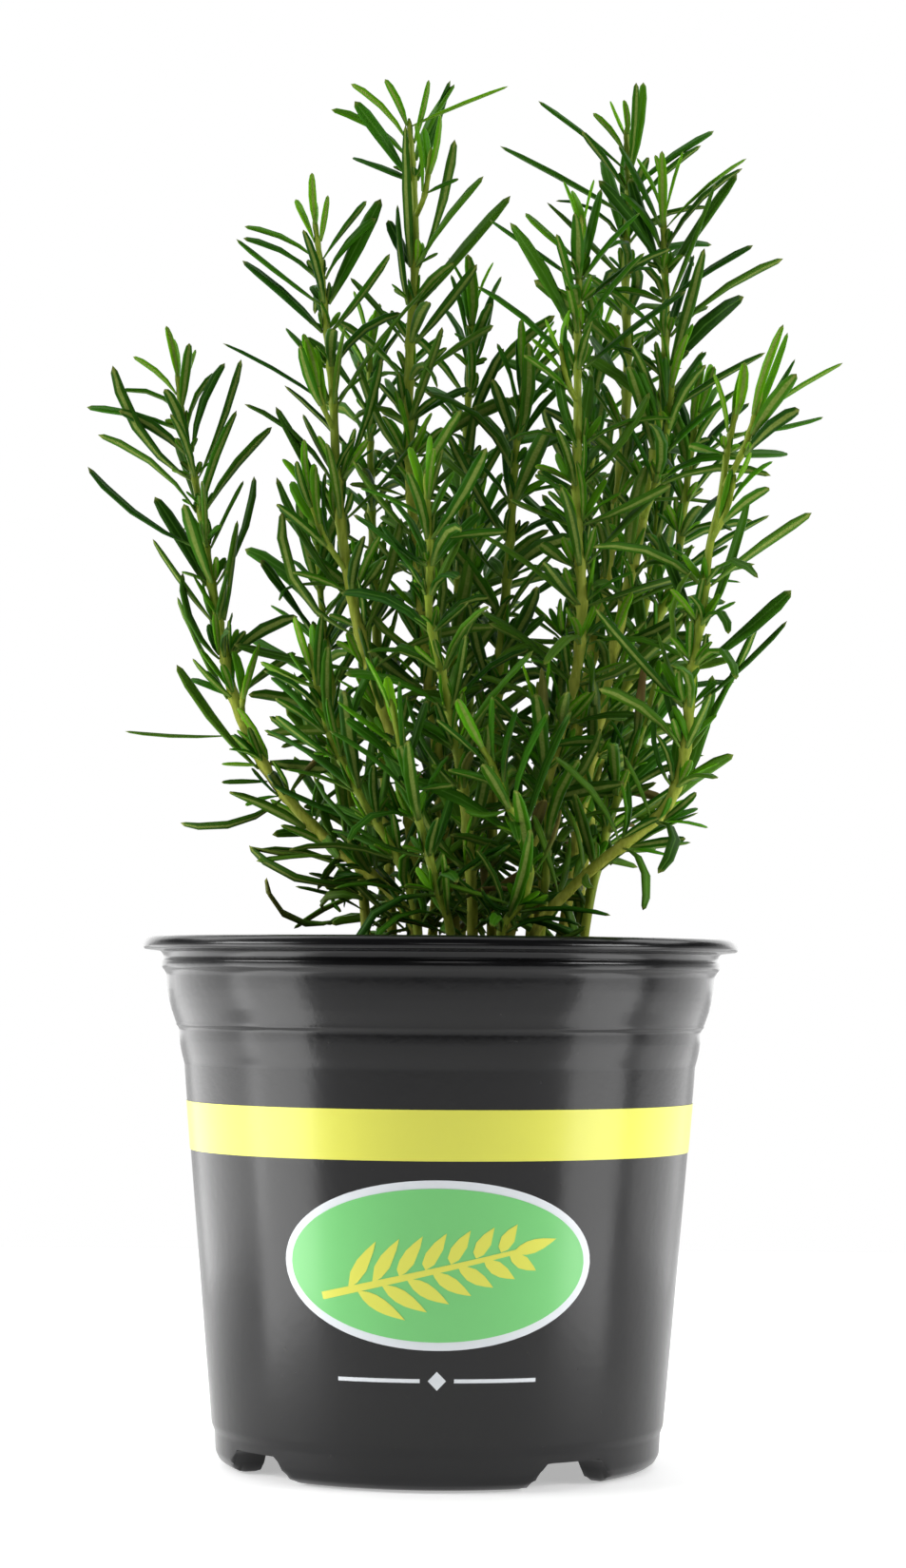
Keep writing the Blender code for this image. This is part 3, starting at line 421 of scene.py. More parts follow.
def print_patch(bm, outline, coat):
    """A thin coat of ink in a convex outline of (distance round the wall, height) points."""
    lows = min(p[0] for p in outline)
    highs = max(p[0] for p in outline)
    count = max(4, round((highs - lows) / PRINT_STEP))
    shares = [(1.0 - math.cos(math.pi * i / count)) / 2.0 for i in range(count + 1)]
    inner = INK_LIFT if coat == 0 else INK_LIFT + INK_COAT * (coat - 0.5)
    outer = INK_LIFT + INK_COAT * (coat + 1)
    grid = []
    for share in shares:
        at = lows + (highs - lows) * min(max(share, 1e-4), 1.0 - 1e-4)
        cuts = []
        for (x0, z0), (x1, z1) in zip(outline, outline[1:] + outline[:1]):
            if (x0 - at) * (x1 - at) <= 0.0 and x0 != x1:
                cuts.append(z0 + (z1 - z0) * (at - x0) / (x1 - x0))
        floor, roof = min(cuts), max(cuts)
        rows = [floor + (roof - floor) * k / 3 for k in range(4)]
        grid.append([[bm.verts.new(wall_point(at, z, lift)) for z in rows]
                     for lift in (inner, outer)])
    for left, right in zip(grid, grid[1:]):
        for k in range(3):
            bm.faces.new((left[1][k], right[1][k], right[1][k + 1], left[1][k + 1]))
            bm.faces.new((left[0][k], left[0][k + 1], right[0][k + 1], right[0][k]))
        bm.faces.new((left[0][0], right[0][0], right[1][0], left[1][0]))
        bm.faces.new((left[0][3], left[1][3], right[1][3], right[0][3]))
    for column, flip in ((grid[0], False), (grid[-1], True)):
        for k in range(3):
            face = (column[0][k], column[1][k], column[1][k + 1], column[0][k + 1])
            bm.faces.new(face[::-1] if flip else face)


def oval(half_width, half_height, count=72):
    return [(half_width * math.cos(math.tau * i / count),
             BADGE_MIDDLE + half_height * math.sin(math.tau * i / count)) for i in range(count)]


def needle(x, z, turn, length, width, count=7):
    """The outline of a blunt slender leaf that starts at a point and points a given way."""
    upper = [(length * i / count, width * math.sin(math.pi * (i / count) ** 0.8))
             for i in range(count + 1)]
    lower = [(a, -b) for a, b in upper[-2:0:-1]]
    cos, sin = math.cos(math.radians(turn)), math.sin(math.radians(turn))
    return [(x + a * cos - b * sin, z + a * sin + b * cos) for a, b in upper + lower]


def ink(name, colour, worn):
    """Screen-print ink: even colour, thinner in places, with the gloss of the plastic."""
    made, tree, shader = new_material(name, 0.28)
    thin = place_group(tree, patches, Place=object_place(tree), Size=120.0, Contrast=0.2)
    tree.links.new(mix_colours(tree, thin.outputs["Mask"], (*worn, 1.0), (*colour, 1.0)),
                   shader.inputs["Base Color"])
    tree.links.new(remap(tree, thin.outputs["Height"], 0.25, 0.75, 0.275, 0.285),
                   shader.inputs["Roughness"])
    screen = place_group(tree, patches, Place=object_place(tree), Size=1500.0, Contrast=0.3)
    bump(tree, shader, screen.outputs["Height"], 0.00002, 0.4)
    return made


yellow_ink = ink("yellow_ink", (0.66, 0.66, 0.080), (0.655, 0.655, 0.079))
green_ink = ink("green_ink", (0.155, 0.53, 0.157), (0.154, 0.526, 0.156))
white_ink = ink("white_ink", (0.66, 0.69, 0.72), (0.655, 0.685, 0.715))


def printed(bm, name, look):
    """Finishes one colour of print."""
    bmesh.ops.recalc_face_normals(bm, faces=bm.faces)
    mesh = finished(bm, name)
    mesh.set_sharp_from_angle(angle=PRINT_SHARP)
    declare(add_object(name, mesh, look), "printed_ink")


def print_piece(name, patches_to_print, look):
    """One colour of print: a list of (outline, coat) patches."""
    bm = bmesh.new()
    for outline, coat in patches_to_print:
        print_patch(bm, outline, coat)
    printed(bm, name, look)


band = bmesh.new()
band_rows = [(BAND_LOW, INK_LIFT), (BAND_HIGH, INK_LIFT), (BAND_HIGH, INK_LIFT + INK_COAT),
             (BAND_LOW, INK_LIFT + INK_COAT)]
around = math.tau * wall_radius(BADGE_MIDDLE)
band_columns = [[band.verts.new(wall_point(around * step / POT_COLUMNS, z, lift))
                 for z, lift in band_rows] for step in range(POT_COLUMNS)]
for step, column in enumerate(band_columns):
    join_rings(band, column, band_columns[(step + 1) % POT_COLUMNS])
printed(band, "printed_band", yellow_ink)

print_piece("badge_border", [(oval(BADGE_HALF_WIDTH, BADGE_HALF_HEIGHT), 0)], white_ink)
print_piece("badge_field", [(oval(BADGE_HALF_WIDTH - BADGE_BORDER,
                                  BADGE_HALF_HEIGHT - BADGE_BORDER), 1)], green_ink)
sprig = [([(-21.5, BADGE_MIDDLE - 6.6), (14.0, BADGE_MIDDLE + 2.0),
           (14.3, BADGE_MIDDLE + 2.9), (-21.8, BADGE_MIDDLE - 5.2)], 2)]
for step in range(SPRIG_PAIRS):
    at = -16.5 + 4.6 * step
    height = BADGE_MIDDLE - 4.9 + 0.245 * (at + 17.5)
    reach = 10.2 - 0.7 * step
    sprig.append((needle(at, height + 0.2, 58.0, reach, 1.3), 2))
    sprig.append((needle(at + 1.8, height - 0.1, -30.0, reach, 1.3), 2))
sprig.append((needle(13.6, BADGE_MIDDLE + 2.3, 16.0, 8.6, 1.25), 2))
print_piece("badge_sprig", sprig, yellow_ink)
rule = [([(left, RULE_LEVEL - RULE_HALF), (right, RULE_LEVEL - RULE_HALF),
          (right, RULE_LEVEL + RULE_HALF), (left, RULE_LEVEL + RULE_HALF)], 0)
        for left, right in RULE_PARTS]
rule.append(([(-DIAMOND_HALF, RULE_LEVEL), (0.0, RULE_LEVEL - DIAMOND_HALF),
              (DIAMOND_HALF, RULE_LEVEL), (0.0, RULE_LEVEL + DIAMOND_HALF)], 0))
print_piece("badge_rule", rule, white_ink)

# ============================================================ potting mix
# Damp dark peat and composted bark, pressed lightly into the pot a finger's width below the rim,
# with chips of bark and grains of perlite lying loose on it.
MIX_TOP = 90.0
MIX_COLUMNS, MIX_RINGS = 144, 44
MIX_FOOT = 40.6                 # radius where the mix stands on the floor
WALL_GAP = 0.3
CRUMBS_ABOVE, CRUMBS_FROM_WALL = 87.5, 3.0      # loose crumbs lie higher than this and off the wall


def inner_wall(z):
    """Radius of the pot's inner wall at a height."""
    wall = POT_INSIDE[6:]
    return float(np.interp(z, [p[1] for p in wall], [p[0] for p in wall]))


def mix_level(x, y):
    """Height of the lumpy top of the mix."""
    return (MIX_TOP + 0.55 * math.sin(0.31 * x + 1.2) * math.cos(0.27 * y)
            + 0.45 * math.sin(0.19 * x - 0.42 * y + 0.6))


def crumbly(x, y):
    """Small lumps and hollows on top of the mean level."""
    from_centre = math.hypot(x, y)
    lumps = (0.55 * math.sin(1.31 * x + 0.4 * y) * math.sin(1.12 * y - 0.33 * x + 1.7)
             + 0.35 * math.sin(2.7 * x - 1.9 * y + 0.5) * math.sin(2.3 * y + 1.1 * x)
             + 0.2 * math.sin(5.1 * x + 0.7) * math.sin(4.7 * y + 2.0))
    return lumps * blend(1.0, 0.2, (from_centre - 48.0) / 4.0)


peat = bmesh.new()
edge = inner_wall(MIX_TOP) - WALL_GAP
mix_grid = [ring_of(peat, MIX_FOOT, FLOOR_TOP + WALL_GAP, MIX_COLUMNS)]
for z in (8.0, 76.4, 82.6):
    mix_grid.append(ring_of(peat, inner_wall(z) - WALL_GAP, z, MIX_COLUMNS))
for ring in range(MIX_RINGS):
    radius = edge * (1.0 - ring / MIX_RINGS)
    row = []
    for i in range(MIX_COLUMNS):
        x = radius * math.cos(math.tau * i / MIX_COLUMNS)
        y = radius * math.sin(math.tau * i / MIX_COLUMNS)
        row.append(peat.verts.new((x * MM, y * MM, (mix_level(x, y) + crumbly(x, y)) * MM)))
    mix_grid.append(row)
for low, high in zip(mix_grid, mix_grid[1:]):
    join_rings(peat, low, high)
peat.faces.new(reversed(mix_grid[0]))
join_to_point(peat, mix_grid[-1], peat.verts.new((0.0, 0.0, mix_level(0.0, 0.0) * MM)))
peat_mesh = finished(peat, "potting_mix_bed")


def crumb_material(name, dark, light, size):
    made, tree, shader = new_material(name, 0.9)
    grain = place_group(tree, patches, Place=object_place(tree), Size=size, Contrast=0.22)
    fine = place_group(tree, patches, Place=object_place(tree), Size=size * 5.0, Contrast=0.3)
    tree.links.new(mix_colours(tree, grain.outputs["Mask"], (*dark, 1.0), (*light, 1.0)),
                   shader.inputs["Base Color"])
    tree.links.new(remap(tree, grain.outputs["Height"], 0.2, 0.8, 0.98, 0.72),
                   shader.inputs["Roughness"])
    bump(tree, shader, fine.outputs["Height"], 0.0004, 0.9)
    return made


peat_look = crumb_material("damp_peat", (0.012, 0.0075, 0.005), (0.055, 0.034, 0.02), 320.0)
bark_look = crumb_material("composted_bark", (0.035, 0.018, 0.01), (0.14, 0.075, 0.04), 500.0)
perlite_look = crumb_material("perlite", (0.55, 0.53, 0.48), (0.78, 0.76, 0.72), 900.0)
mix_bed = add_object("potting_mix_bed", peat_mesh, peat_look)
declare(mix_bed, "potting_mix", "potting_mix")


def geometry_tree(name, inputs):
    """An empty geometry node tree with named inputs, a geometry input and a geometry output."""
    tree = bpy.data.node_groups.new(name, "GeometryNodeTree")
    tree.interface.new_socket("Geometry", in_out="INPUT", socket_type="NodeSocketGeometry")
    for label, kind in inputs:
        tree.interface.new_socket(label, in_out="INPUT", socket_type=kind)
    tree.interface.new_socket("Geometry", in_out="OUTPUT", socket_type="NodeSocketGeometry")
    return tree, node(tree, "NodeGroupInput"), node(tree, "NodeGroupOutput")


def finish_tree(tree, source, group_in, group_out):
    """The last two steps of every tree: real geometry, with its material."""
    solid = feed(tree, node(tree, "GeometryNodeRealizeInstances"), i0=source)
    dressed = feed(tree, node(tree, "GeometryNodeSetMaterial"), i0=solid.outputs[0],
                   i2=group_in.outputs["Material"])
    tree.links.new(dressed.outputs[0], group_out.inputs["Geometry"])


def grow(name, mesh, tree, **values):
    """Runs a tree on a mesh with its own values, and keeps the result as a plain piece."""
    piece = add_object(name, mesh)
    modifier = piece.modifiers.new(tree.name, "NODES")
    modifier.node_group = tree
    named = {item.name: item.identifier for item in tree.interface.items_tree
             if item.item_type == "SOCKET" and item.in_out == "INPUT"}
    for label, value in values.items():
        modifier[named[label]] = value
    return settle(piece)


def lump(name, sides, rings, stretch, seed):
    """A rough closed lump about one unit long."""
    rng = random.Random(seed)
    bm = bmesh.new()
    rows = []
    for ring in range(1, rings):
        tilt = math.pi * ring / rings
        rows.append([bm.verts.new((stretch[0] * math.cos(tilt) * rng.uniform(0.85, 1.1),
                                   stretch[1] * math.sin(tilt) * math.cos(math.tau * i / sides)
                                   * rng.uniform(0.75, 1.15),
                                   stretch[2] * math.sin(tilt) * math.sin(math.tau * i / sides)
                                   * rng.uniform(0.75, 1.15))) for i in range(sides)])
    ends = [bm.verts.new((stretch[0], 0.0, 0.0)), bm.verts.new((-stretch[0], 0.0, 0.0))]
    for low, high in zip(rows, rows[1:]):
        join_rings(bm, low, high)
    join_to_point(bm, rows[0], ends[0])
    join_to_point(bm, rows[-1], ends[1])
    bmesh.ops.recalc_face_normals(bm, faces=bm.faces)
    return add_object(name, finished(bm, name, smooth=False))


def vector_math(tree, operation, first, second=(0.0, 0.0, 0.0)):
    made = feed(tree, node(tree, "ShaderNodeVectorMath", operation=operation), i0=first, i1=second)
    return made.outputs[1 if operation == "LENGTH" else 0]


scatter, scatter_in, scatter_out = geometry_tree(
    "loose_crumbs", [("Crumb", "NodeSocketObject"), ("Spacing", "NodeSocketFloat"),
                     ("Density", "NodeSocketFloat"), ("Smallest", "NodeSocketFloat"),
                     ("Largest", "NodeSocketFloat"), ("Seed", "NodeSocketInt"),
                     ("Material", "NodeSocketMaterial")])
surface_place = node(scatter, "GeometryNodeInputPosition").outputs[0]
height = feed(scatter, node(scatter, "ShaderNodeSeparateXYZ"), i0=surface_place).outputs[2]
from_axis = vector_math(scatter, "LENGTH",
                        vector_math(scatter, "MULTIPLY", surface_place, (1.0, 1.0, 0.0)))
above_bed = math_node(scatter, "GREATER_THAN", height, CRUMBS_ABOVE * MM)
clear_of_wall = math_node(scatter, "LESS_THAN", from_axis, (edge - CRUMBS_FROM_WALL) * MM)
on_top = math_node(scatter, "MULTIPLY", above_bed, clear_of_wall)
spread = node(scatter, "GeometryNodeDistributePointsOnFaces", distribute_method="POISSON")
feed(scatter, spread, i0=scatter_in.outputs["Geometry"], i1=on_top,
     i2=scatter_in.outputs["Spacing"], i3=scatter_in.outputs["Density"],
     i6=scatter_in.outputs["Seed"])
crumb = feed(scatter, node(scatter, "GeometryNodeObjectInfo"), i0=scatter_in.outputs["Crumb"])
turned = node(scatter, "FunctionNodeRandomValue", data_type="FLOAT_VECTOR")
feed(scatter, turned, i0=(-0.5, -0.5, 0.0), i1=(0.5, 0.5, math.tau), i8=scatter_in.outputs["Seed"])
sized = node(scatter, "FunctionNodeRandomValue", data_type="FLOAT")
feed(scatter, sized, i2=scatter_in.outputs["Smallest"], i3=scatter_in.outputs["Largest"],
     i8=scatter_in.outputs["Seed"])
as_turn = feed(scatter, node(scatter, "FunctionNodeEulerToRotation"), i0=turned.outputs[0])
strewn = feed(scatter, node(scatter, "GeometryNodeInstanceOnPoints"), i0=spread.outputs[0],
              i2=crumb.outputs["Geometry"], i5=as_turn.outputs[0], i6=sized.outputs[1])
finish_tree(scatter, strewn.outputs[0], scatter_in, scatter_out)

for name, stretch, spacing, density, small, large, seed, look in (
        ("bark_chips", (1.0, 0.55, 0.22), 0.0032, 60000.0, 0.0012, 0.0034, 4, bark_look),
        ("peat_crumbs", (0.9, 0.8, 0.6), 0.0018, 200000.0, 0.0006, 0.0016, 9, peat_look),
        ("perlite_grains", (0.9, 0.8, 0.7), 0.0085, 20000.0, 0.0007, 0.0014, 6, perlite_look)):
    shape = lump(name + "_shape", 6, 4, stretch, seed)
    piece = grow(name, mix_bed.data.copy(), scatter, Crumb=shape, Spacing=spacing, Density=density,
                 Smallest=small, Largest=large, Seed=seed, Material=look)
    declare(piece, "potting_mix")
    bpy.data.objects.remove(shape, do_unlink=True)

# ============================================================ the rosemary's shoots
# Twenty-one rooted cuttings, each a square green stem with side shoots.  Leaves stand in opposite
# pairs, each pair turned a quarter from the last: crowded at the tip, wider apart below.
LEAF_WIDTH = 2.6
LONGEST = 30.0                  # no leaf is longer
TRIES = 16                      # how often a leaf may be turned or shortened to find room
LEAF_MIDDLE = 0.6               # the leaf is widest here, as a share of its length
CLEARANCE = 1.15                # least distance between the ribs of two shoots' leaves
OWN_CLEARANCE = 0.85            # and of two leaves of one stem
STEM_CLEARANCE = 2.6            # least distance between a leaf's ribs and another stem's middle
RIM_CLEAR = 104.5               # leaves near and beyond the rim of the pot stay above this
NEAR_RIM = 45.0                 # and this far from the middle they count as near the rim
MOUTH_CLEAR = 103.0             # the others leave the watering space free
NEIGHBOURS = 40.0               # only what is nearer than this can be in a leaf's way
TUFT_CLEARANCE = 0.25           # late leaves may nearly touch the leaves of their own stem
LATE_EASE = 0.45                # and may come this much closer to everything else
TUFT_FREE_TIP = 12.0            # no tufts this close to a stem's tip
TUFT_SHARE, TUFT_SHARE_BARE = 0.85, 0.40    # how often a leaf axil, or a bare face, has a tuft
LOW_FROM, LOW_STEP = 99.5, 3.3  # the lowest seats of old leaves, and their spacing
LOW_REACH = (-40.0, 28.0)       # the old low leaves keep between these, left and right
LATE_FREE_TIP = 13.0            # no late leaves this close to a stem's tip
LATE_SHARE = 0.8                # how often a face that the first pair left bare gets a late leaf
LATE_TRIES, LATE_SLIM = 5, 0.75
LATE_CURL = (0.35, 0.7)         # mean and spread of their extra bend, in radians

# route: points up the stem, from its buried end to its tip.  turn: which way the first leaf pair
# faces, in degrees.  bare: how much of the stem has no leaves, from its buried end.  leaves: chosen
# ones, as height of the foot, x, y and z of the tip, bend and roll.  sides: shoots that branch off.
SHOOTS = {
    "shoot_far_left": dict(turn=8, bare=34, seed=3,
        route=[(-3, 0, 80), (-3, 0, 95), (-6, 0, 104), (-11, 1, 110), (-21, 3, 118), (-29, 5, 126),
        (-37.5, 8, 138.5), (-41, 9, 147.5), (-43.5, 10, 159), (-46, 12, 171.5), (-48.5, 14, 186.5),
        (-52, 17, 202.5), (-53.5, 19, 213)],
        leaves=[(209, -62, 18, 216, 35), (206, -65.5, 18, 210, 60), (202, -70, 19, 210, -5),
        (193, -72.5, 18, 207, -10), (186, -62.5, 16, 204.5, 8, 45), (206, -51.5, 15, 218, -10),
        (198, -45.5, 18, 215.5, 25, -30), (195, -40, 21, 216.5, -8), (186, -44, 8, 204, 8, 10),
        (178, -71, 17, 193, -28), (166, -52.5, 6, 184, 8, 20), (172, -54.5, 15, 188, -8),
        (180, -41.5, 14, 191, -8), (176, -34, 18, 190.5, -10), (168, -41, 10, 182, 5),
        (167, -57, 11, 178.5, -8), (159, -56.5, 8, 168.5, -15, 25), (159, -54.5, 15, 169.5, -5),
        (158, -64, 12, 166, -18), (155, -58, 8, 159.5, -22), (144, -58, 8, 157.5, -18),
        (144, -53, 13, 152, -10), (142, -54, 5, 146.5, -15, 30), (138, -62, 8, 143.5, -55),
        (154, -32.5, 10, 167.5, -5, 25), (150, -31.5, 14, 159, -5), (161, -42.5, 6, 171.5, 0),
        (125, -50.5, 3, 120.5, -45), (119, -36, 3, 116.5, 5), (134, -22, 7, 132, 8, 30),
        (130, -42, 4, 131, 12)],
        sides=[
            dict(route=[(-39, 8, 141.5), (-39, 5.5, 145), (-38, 5, 151.5)])]),
    "shoot_left_tall": dict(turn=0, bare=36, seed=11,
        route=[(-5, 8, 80), (-5, 8, 95), (-5, 8, 104), (-6, 8, 120.5), (-8.5, 7, 134.5),
        (-12.5, 7, 147.5), (-16, 7, 158.5), (-19, 7, 173), (-21, 8, 189), (-22, 9, 206.5),
        (-23.5, 9, 221.5), (-25, 9, 235), (-26, 9, 242)],
        leaves=[(238, -30, 9, 246, 12), (237, -24, 7, 246, -12), (232, -39, 10, 241, 32),
        (230, -39, 6, 239, 30), (226, -40.5, 9, 238, -8), (218, -39, 7, 234.5, 5, 40),
        (230, -15, 7, 242.5, 25), (232, -15.5, 12, 246.5, 10), (224, -12.5, 11, 245.5, 5, -35),
        (216, -9.5, 6, 233, 5), (208, -6, 6, 228.5, 8, -35), (206, -43, 7, 219, 6),
        (204, -32.5, 13, 220, 5, 30), (200, -33.5, 8, 210, 5), (191, -32.5, 9, 204, 3, 20),
        (190, -28, 5, 203, 0), (188, -42, 10, 198, -8), (182, -40.5, 12, 196.5, -10),
        (177, -35.5, 4, 188.5, -8, 40), (198, -11, 4, 213, -8, -30), (176, -41.5, 7, 177, -30),
        (179, -36, 10, 182, 8), (164, -33, 3, 178.5, 0, 30), (166, -36.5, 10, 179, 10),
        (158, -39.5, 7, 161.5, -28), (162, -34, 11, 171, -5), (168, -12.5, 2, 175, -25, -20)],
        sides=[
            dict(route=[(-21.5, 9, 199.5), (-24, 6, 204.5), (-26, 5, 212.5)]),
            dict(route=[(-19, 7, 171), (-23, 4.5, 177.5), (-27, 3, 188.5)])]),
    "shoot_centre_tall": dict(turn=20, bare=36, seed=5,
        route=[(3, 12, 80), (3, 12, 95), (2.5, 12, 104), (0, 12, 128.5), (-3, 12, 153),
        (-5.5, 12, 176.5), (-7, 12, 196.5), (-7, 12, 217), (-6, 12, 237.5), (-6.5, 12, 250.5),
        (-7.5, 12, 262.5)],
        leaves=[(259, -19, 12, 270, 35), (254, -22, 16, 265.5, 40), (252, -18, 9, 265, 5, 30),
        (259, -4, 11, 270, -8), (256, -2.5, 15, 271.5, 5), (254, 0.5, 15, 271.5, 5, -35),
        (252, 6, 10, 268, 30), (248, 12, 14, 268.5, 5), (248, -13, 7, 262.5, 5, 20),
        (246, -18.5, 16, 258, -10, 30), (242, -9.5, 6, 258, 10, 0), (242, 0.5, 17, 263.5, 5, -30),
        (238, 7.5, 15, 256.5, 12), (236, 13, 17, 256, 10), (232, 5, 9, 250.5, 5, -30),
        (226, 11.5, 15, 248, 0, -30), (228, 18, 18, 252, -5), (234, -12, 9, 244.5, 8),
        (230, -12.5, 15, 242, 5, 30), (232, -25.5, 17, 250.5, 0), (225, -24, 15, 245, 5, 30),
        (217, 7, 8, 232, 5)],
        sides=[
            dict(route=[(-6, 12, 242.5), (-4.5, 8, 245.5), (-3, 7, 255.5)],
            leaves=[(245, 2.5, 5, 249, 15)])]),
    "shoot_centre_front": dict(turn=35, bare=30, seed=6,
        route=[(6, -14, 80), (6, -14, 95), (6, -15, 104), (5, -16, 119.5), (3, -17, 135),
        (0, -18, 149.5), (-2.5, -18, 161), (-2.5, -19, 174), (-3.5, -19, 187.5)],
        leaves=[(174, -4, -23, 187.5, 5), (169, -12, -22, 177.5, -28), (180, -16, -19, 184, 32),
        (176, 7.5, -25, 192, -18), (156, 2.5, -23, 165, -35), (174, 12, -19, 176, 20)]),
    "shoot_front_low_right": dict(turn=80, bare=26, seed=7,
        route=[(10.5, -27, 80), (10.5, -27, 95), (12, -28, 103), (15.5, -28, 107.5),
        (16.5, -28, 112), (14.5, -29, 119), (12, -30, 125.5), (9, -31, 132.5), (4.5, -32, 139)],
        leaves=[(132, 0, -34, 141, 0, 25), (130, 1.5, -35, 131.5, 12), (124, 3, -34, 123, -40),
        (106, 6.5, -33, 106.5, -50), (108, 1.5, -30, 112, -15)]),
    "shoot_front_low_left": dict(turn=10, bare=26, seed=8,
        route=[(2.5, -25, 80), (2.5, -25, 95), (1.5, -25, 103), (-1, -26, 110.5), (-3, -27, 118),
        (-5, -28, 124.5), (-7, -29, 132.5), (-9.5, -30, 144)],
        leaves=[(132, -9, -32, 147, 0), (134, -19, -29, 144, -5, 30), (112, -2.5, -32, 122, -5),
        (126, 1, -32, 130, -25), (117, -27, -27, 126, -35), (128, -3.5, -28, 144, 0)]),
    "shoot_front_tall": dict(turn=-12, bare=36, seed=9,
        route=[(12, -8, 80), (12, -8, 95), (14.5, -9, 106), (18, -10, 121.5), (22.5, -10, 139.5),
        (25.5, -10, 151), (26.5, -10, 164), (25.5, -9, 179), (25.5, -9, 198.5), (25.5, -9, 220.5),
        (26, -9, 239)],
        leaves=[(228, 25.5, -11, 239, 0), (228, 29.5, -5, 244, 0, -20),
        (224, 21.5, -11, 235, 15, 20), (224, 15, -6, 239.5, 5), (222, 14.5, -9, 238, 5, 35),
        (220, 8.5, -6, 239, 5), (228, 38.5, -9, 238, 32), (220, 41.5, -7, 235, 18),
        (202, 46.5, -13, 223, 14, -20), (198, 18.5, -14, 207.5, 5, 30),
        (184, 18, -12, 189, -5, 30), (179, 13, -11, 184.5, -8, 25), (171, 17.5, -14, 175.5, 8, 30),
        (176, 43, -13, 187.5, -12)],
        sides=[
            dict(route=[(25.5, -9, 202.5), (23.5, -12, 206), (22, -13, 213.5)])]),
    "shoot_right_tall": dict(turn=25, bare=40, seed=10,
        route=[(18, 7, 80), (18, 7, 95), (19, 7, 104), (21.5, 8, 122.5), (26.5, 9, 142.5),
        (31, 10, 166), (34.5, 11, 189.5), (36, 12, 212), (35.5, 12, 232.5), (36, 12, 248.5),
        (35.5, 12, 261)],
        leaves=[(254, 18, 14, 265.5, 15), (256, 29, 10, 263.5, 32), (258, 32, 14, 267, 5),
        (259, 36, 10, 266, -5), (252, 38, 9, 269, -5, -15), (252, 40.5, 15, 271.5, 3, -30),
        (250, 54, 14, 260.5, 22), (248, 27.5, 9, 259.5, 5, 30), (244, 10, 15, 258.5, 5),
        (234, 21, 12, 247, 0, 35)]),
    "shoot_right_tall_front": dict(turn=-20, bare=38, seed=12,
        route=[(23, -1, 80), (23, -1, 95), (24, -1, 105), (26.5, -1, 122), (30.5, -1, 144),
        (35, 0, 165), (39, 1, 184), (42, 2, 202.5), (43, 2, 222.5), (42.5, 2, 236.5),
        (42.5, 2, 247.5)],
        leaves=[(242, 45, 2, 254, 0), (242, 42, 0, 253, -5), (238, 58.5, 4, 255.5, 10),
        (236, 57.5, 0, 251, 38), (232, 57, 5, 251, 3, -35), (230, 54.5, -1, 246, 10),
        (238, 36, 0, 256, -5), (232, 31.5, -3, 248.5, 8, 25), (218, 62, -1, 237.5, 5, -25),
        (222, 59, 5, 238, 5), (218, 48, 6, 235, 0), (216, 51, 0, 234, 0), (206, 55, 5, 231, 0, -35)],
        sides=[
            dict(route=[(38.5, 1, 181), (41, -4, 188.5), (43, -6, 199), (44, -7, 211)])]),
    "shoot_right_outer": dict(turn=15, bare=38, seed=13,
        route=[(16, -20, 80), (16, -20, 95), (19, -21, 103.5), (23.5, -22, 108.5),
        (30, -24, 114.5), (36.5, -26, 119.5), (41.5, -27, 124), (44, -27, 129.5), (45.5, -28, 138),
        (46, -28, 146), (47, -28, 153.5), (48.5, -28, 163), (49.5, -28, 172.5), (51.5, -28, 181.5),
        (53, -28, 192), (55.5, -28, 202.5)],
        leaves=[(192, 71.5, -26, 199, -12), (180, 71, -28, 189, -5), (178, 66, -25, 193, 0, -30),
        (172, 65.5, -30, 182.5, -10), (174, 60, -24, 181, 5), (160, 65.5, -28, 164.5, -8),
        (148, 64.5, -28, 158.5, -5), (150, 59, -23, 158.5, -8), (136, 54.5, -26, 150, -5, -30),
        (124, 51.5, -24, 137.5, -12), (114, 41, -22, 120, -50), (162, 39.5, -25, 175.5, 0, 30),
        (180, 45, -32, 192, -5, 25), (154, 35.5, -26, 166.5, -15), (132, 36.5, -27, 143, -25)],
        sides=[
            dict(route=[(51.5, -28, 183.5), (55.5, -30, 190.5), (59, -31, 202)],
            leaves=[(198, 64.5, -29, 213, 0, -30), (199, 61, -32, 214, -5), (198, 66, -28, 208, 5),
            (196, 73, -31, 206, 12), (192, 63, -34, 204.5, -5)]),
            dict(route=[(50, -28, 173.5), (52, -31, 178), (54, -32, 186)])]),
    "shoot_right_inner": dict(turn=40, bare=36, seed=14,
        route=[(25.5, 12, 80), (25.5, 12, 95), (26.5, 12, 104), (28.5, 11, 120.5),
        (31.5, 8, 138.5), (35.5, 6, 148.5), (41, 6, 160.5), (45, 6, 171.5), (47, 7, 185),
        (48.5, 8, 197), (50.5, 9, 208.5)]),
    "shoot_low_right": dict(turn=60, bare=28, seed=15,
        route=[(26.5, -13, 80), (26.5, -13, 95), (28, -13, 106), (30.5, -12.5, 117.5),
        (34, -12, 128.5), (37.5, -12, 138), (40.5, -12, 149)]),
    "shoot_left_low": dict(turn=30, bare=30, seed=16,
        route=[(-4, -12, 80), (-4, -12, 95), (-5, -12.5, 106), (-9, -13, 116.5),
        (-13.5, -13, 123.5), (-17.5, -12, 130.5), (-21, -11, 137.5), (-23.5, -11, 146),
        (-25.5, -10, 156)],
        leaves=[(134, -31.5, -14, 142, -5, 35), (146, -34.5, -13, 152.5, -5),
        (147, -29, -8, 154.5, 0), (120, -32.5, -11, 129.5, -10)]),
    "shoot_centre_low": dict(turn=5, bare=30, seed=17,
        route=[(18.5, -13, 80), (18.5, -13, 95), (19.5, -14, 107.5), (20, -15, 123.5),
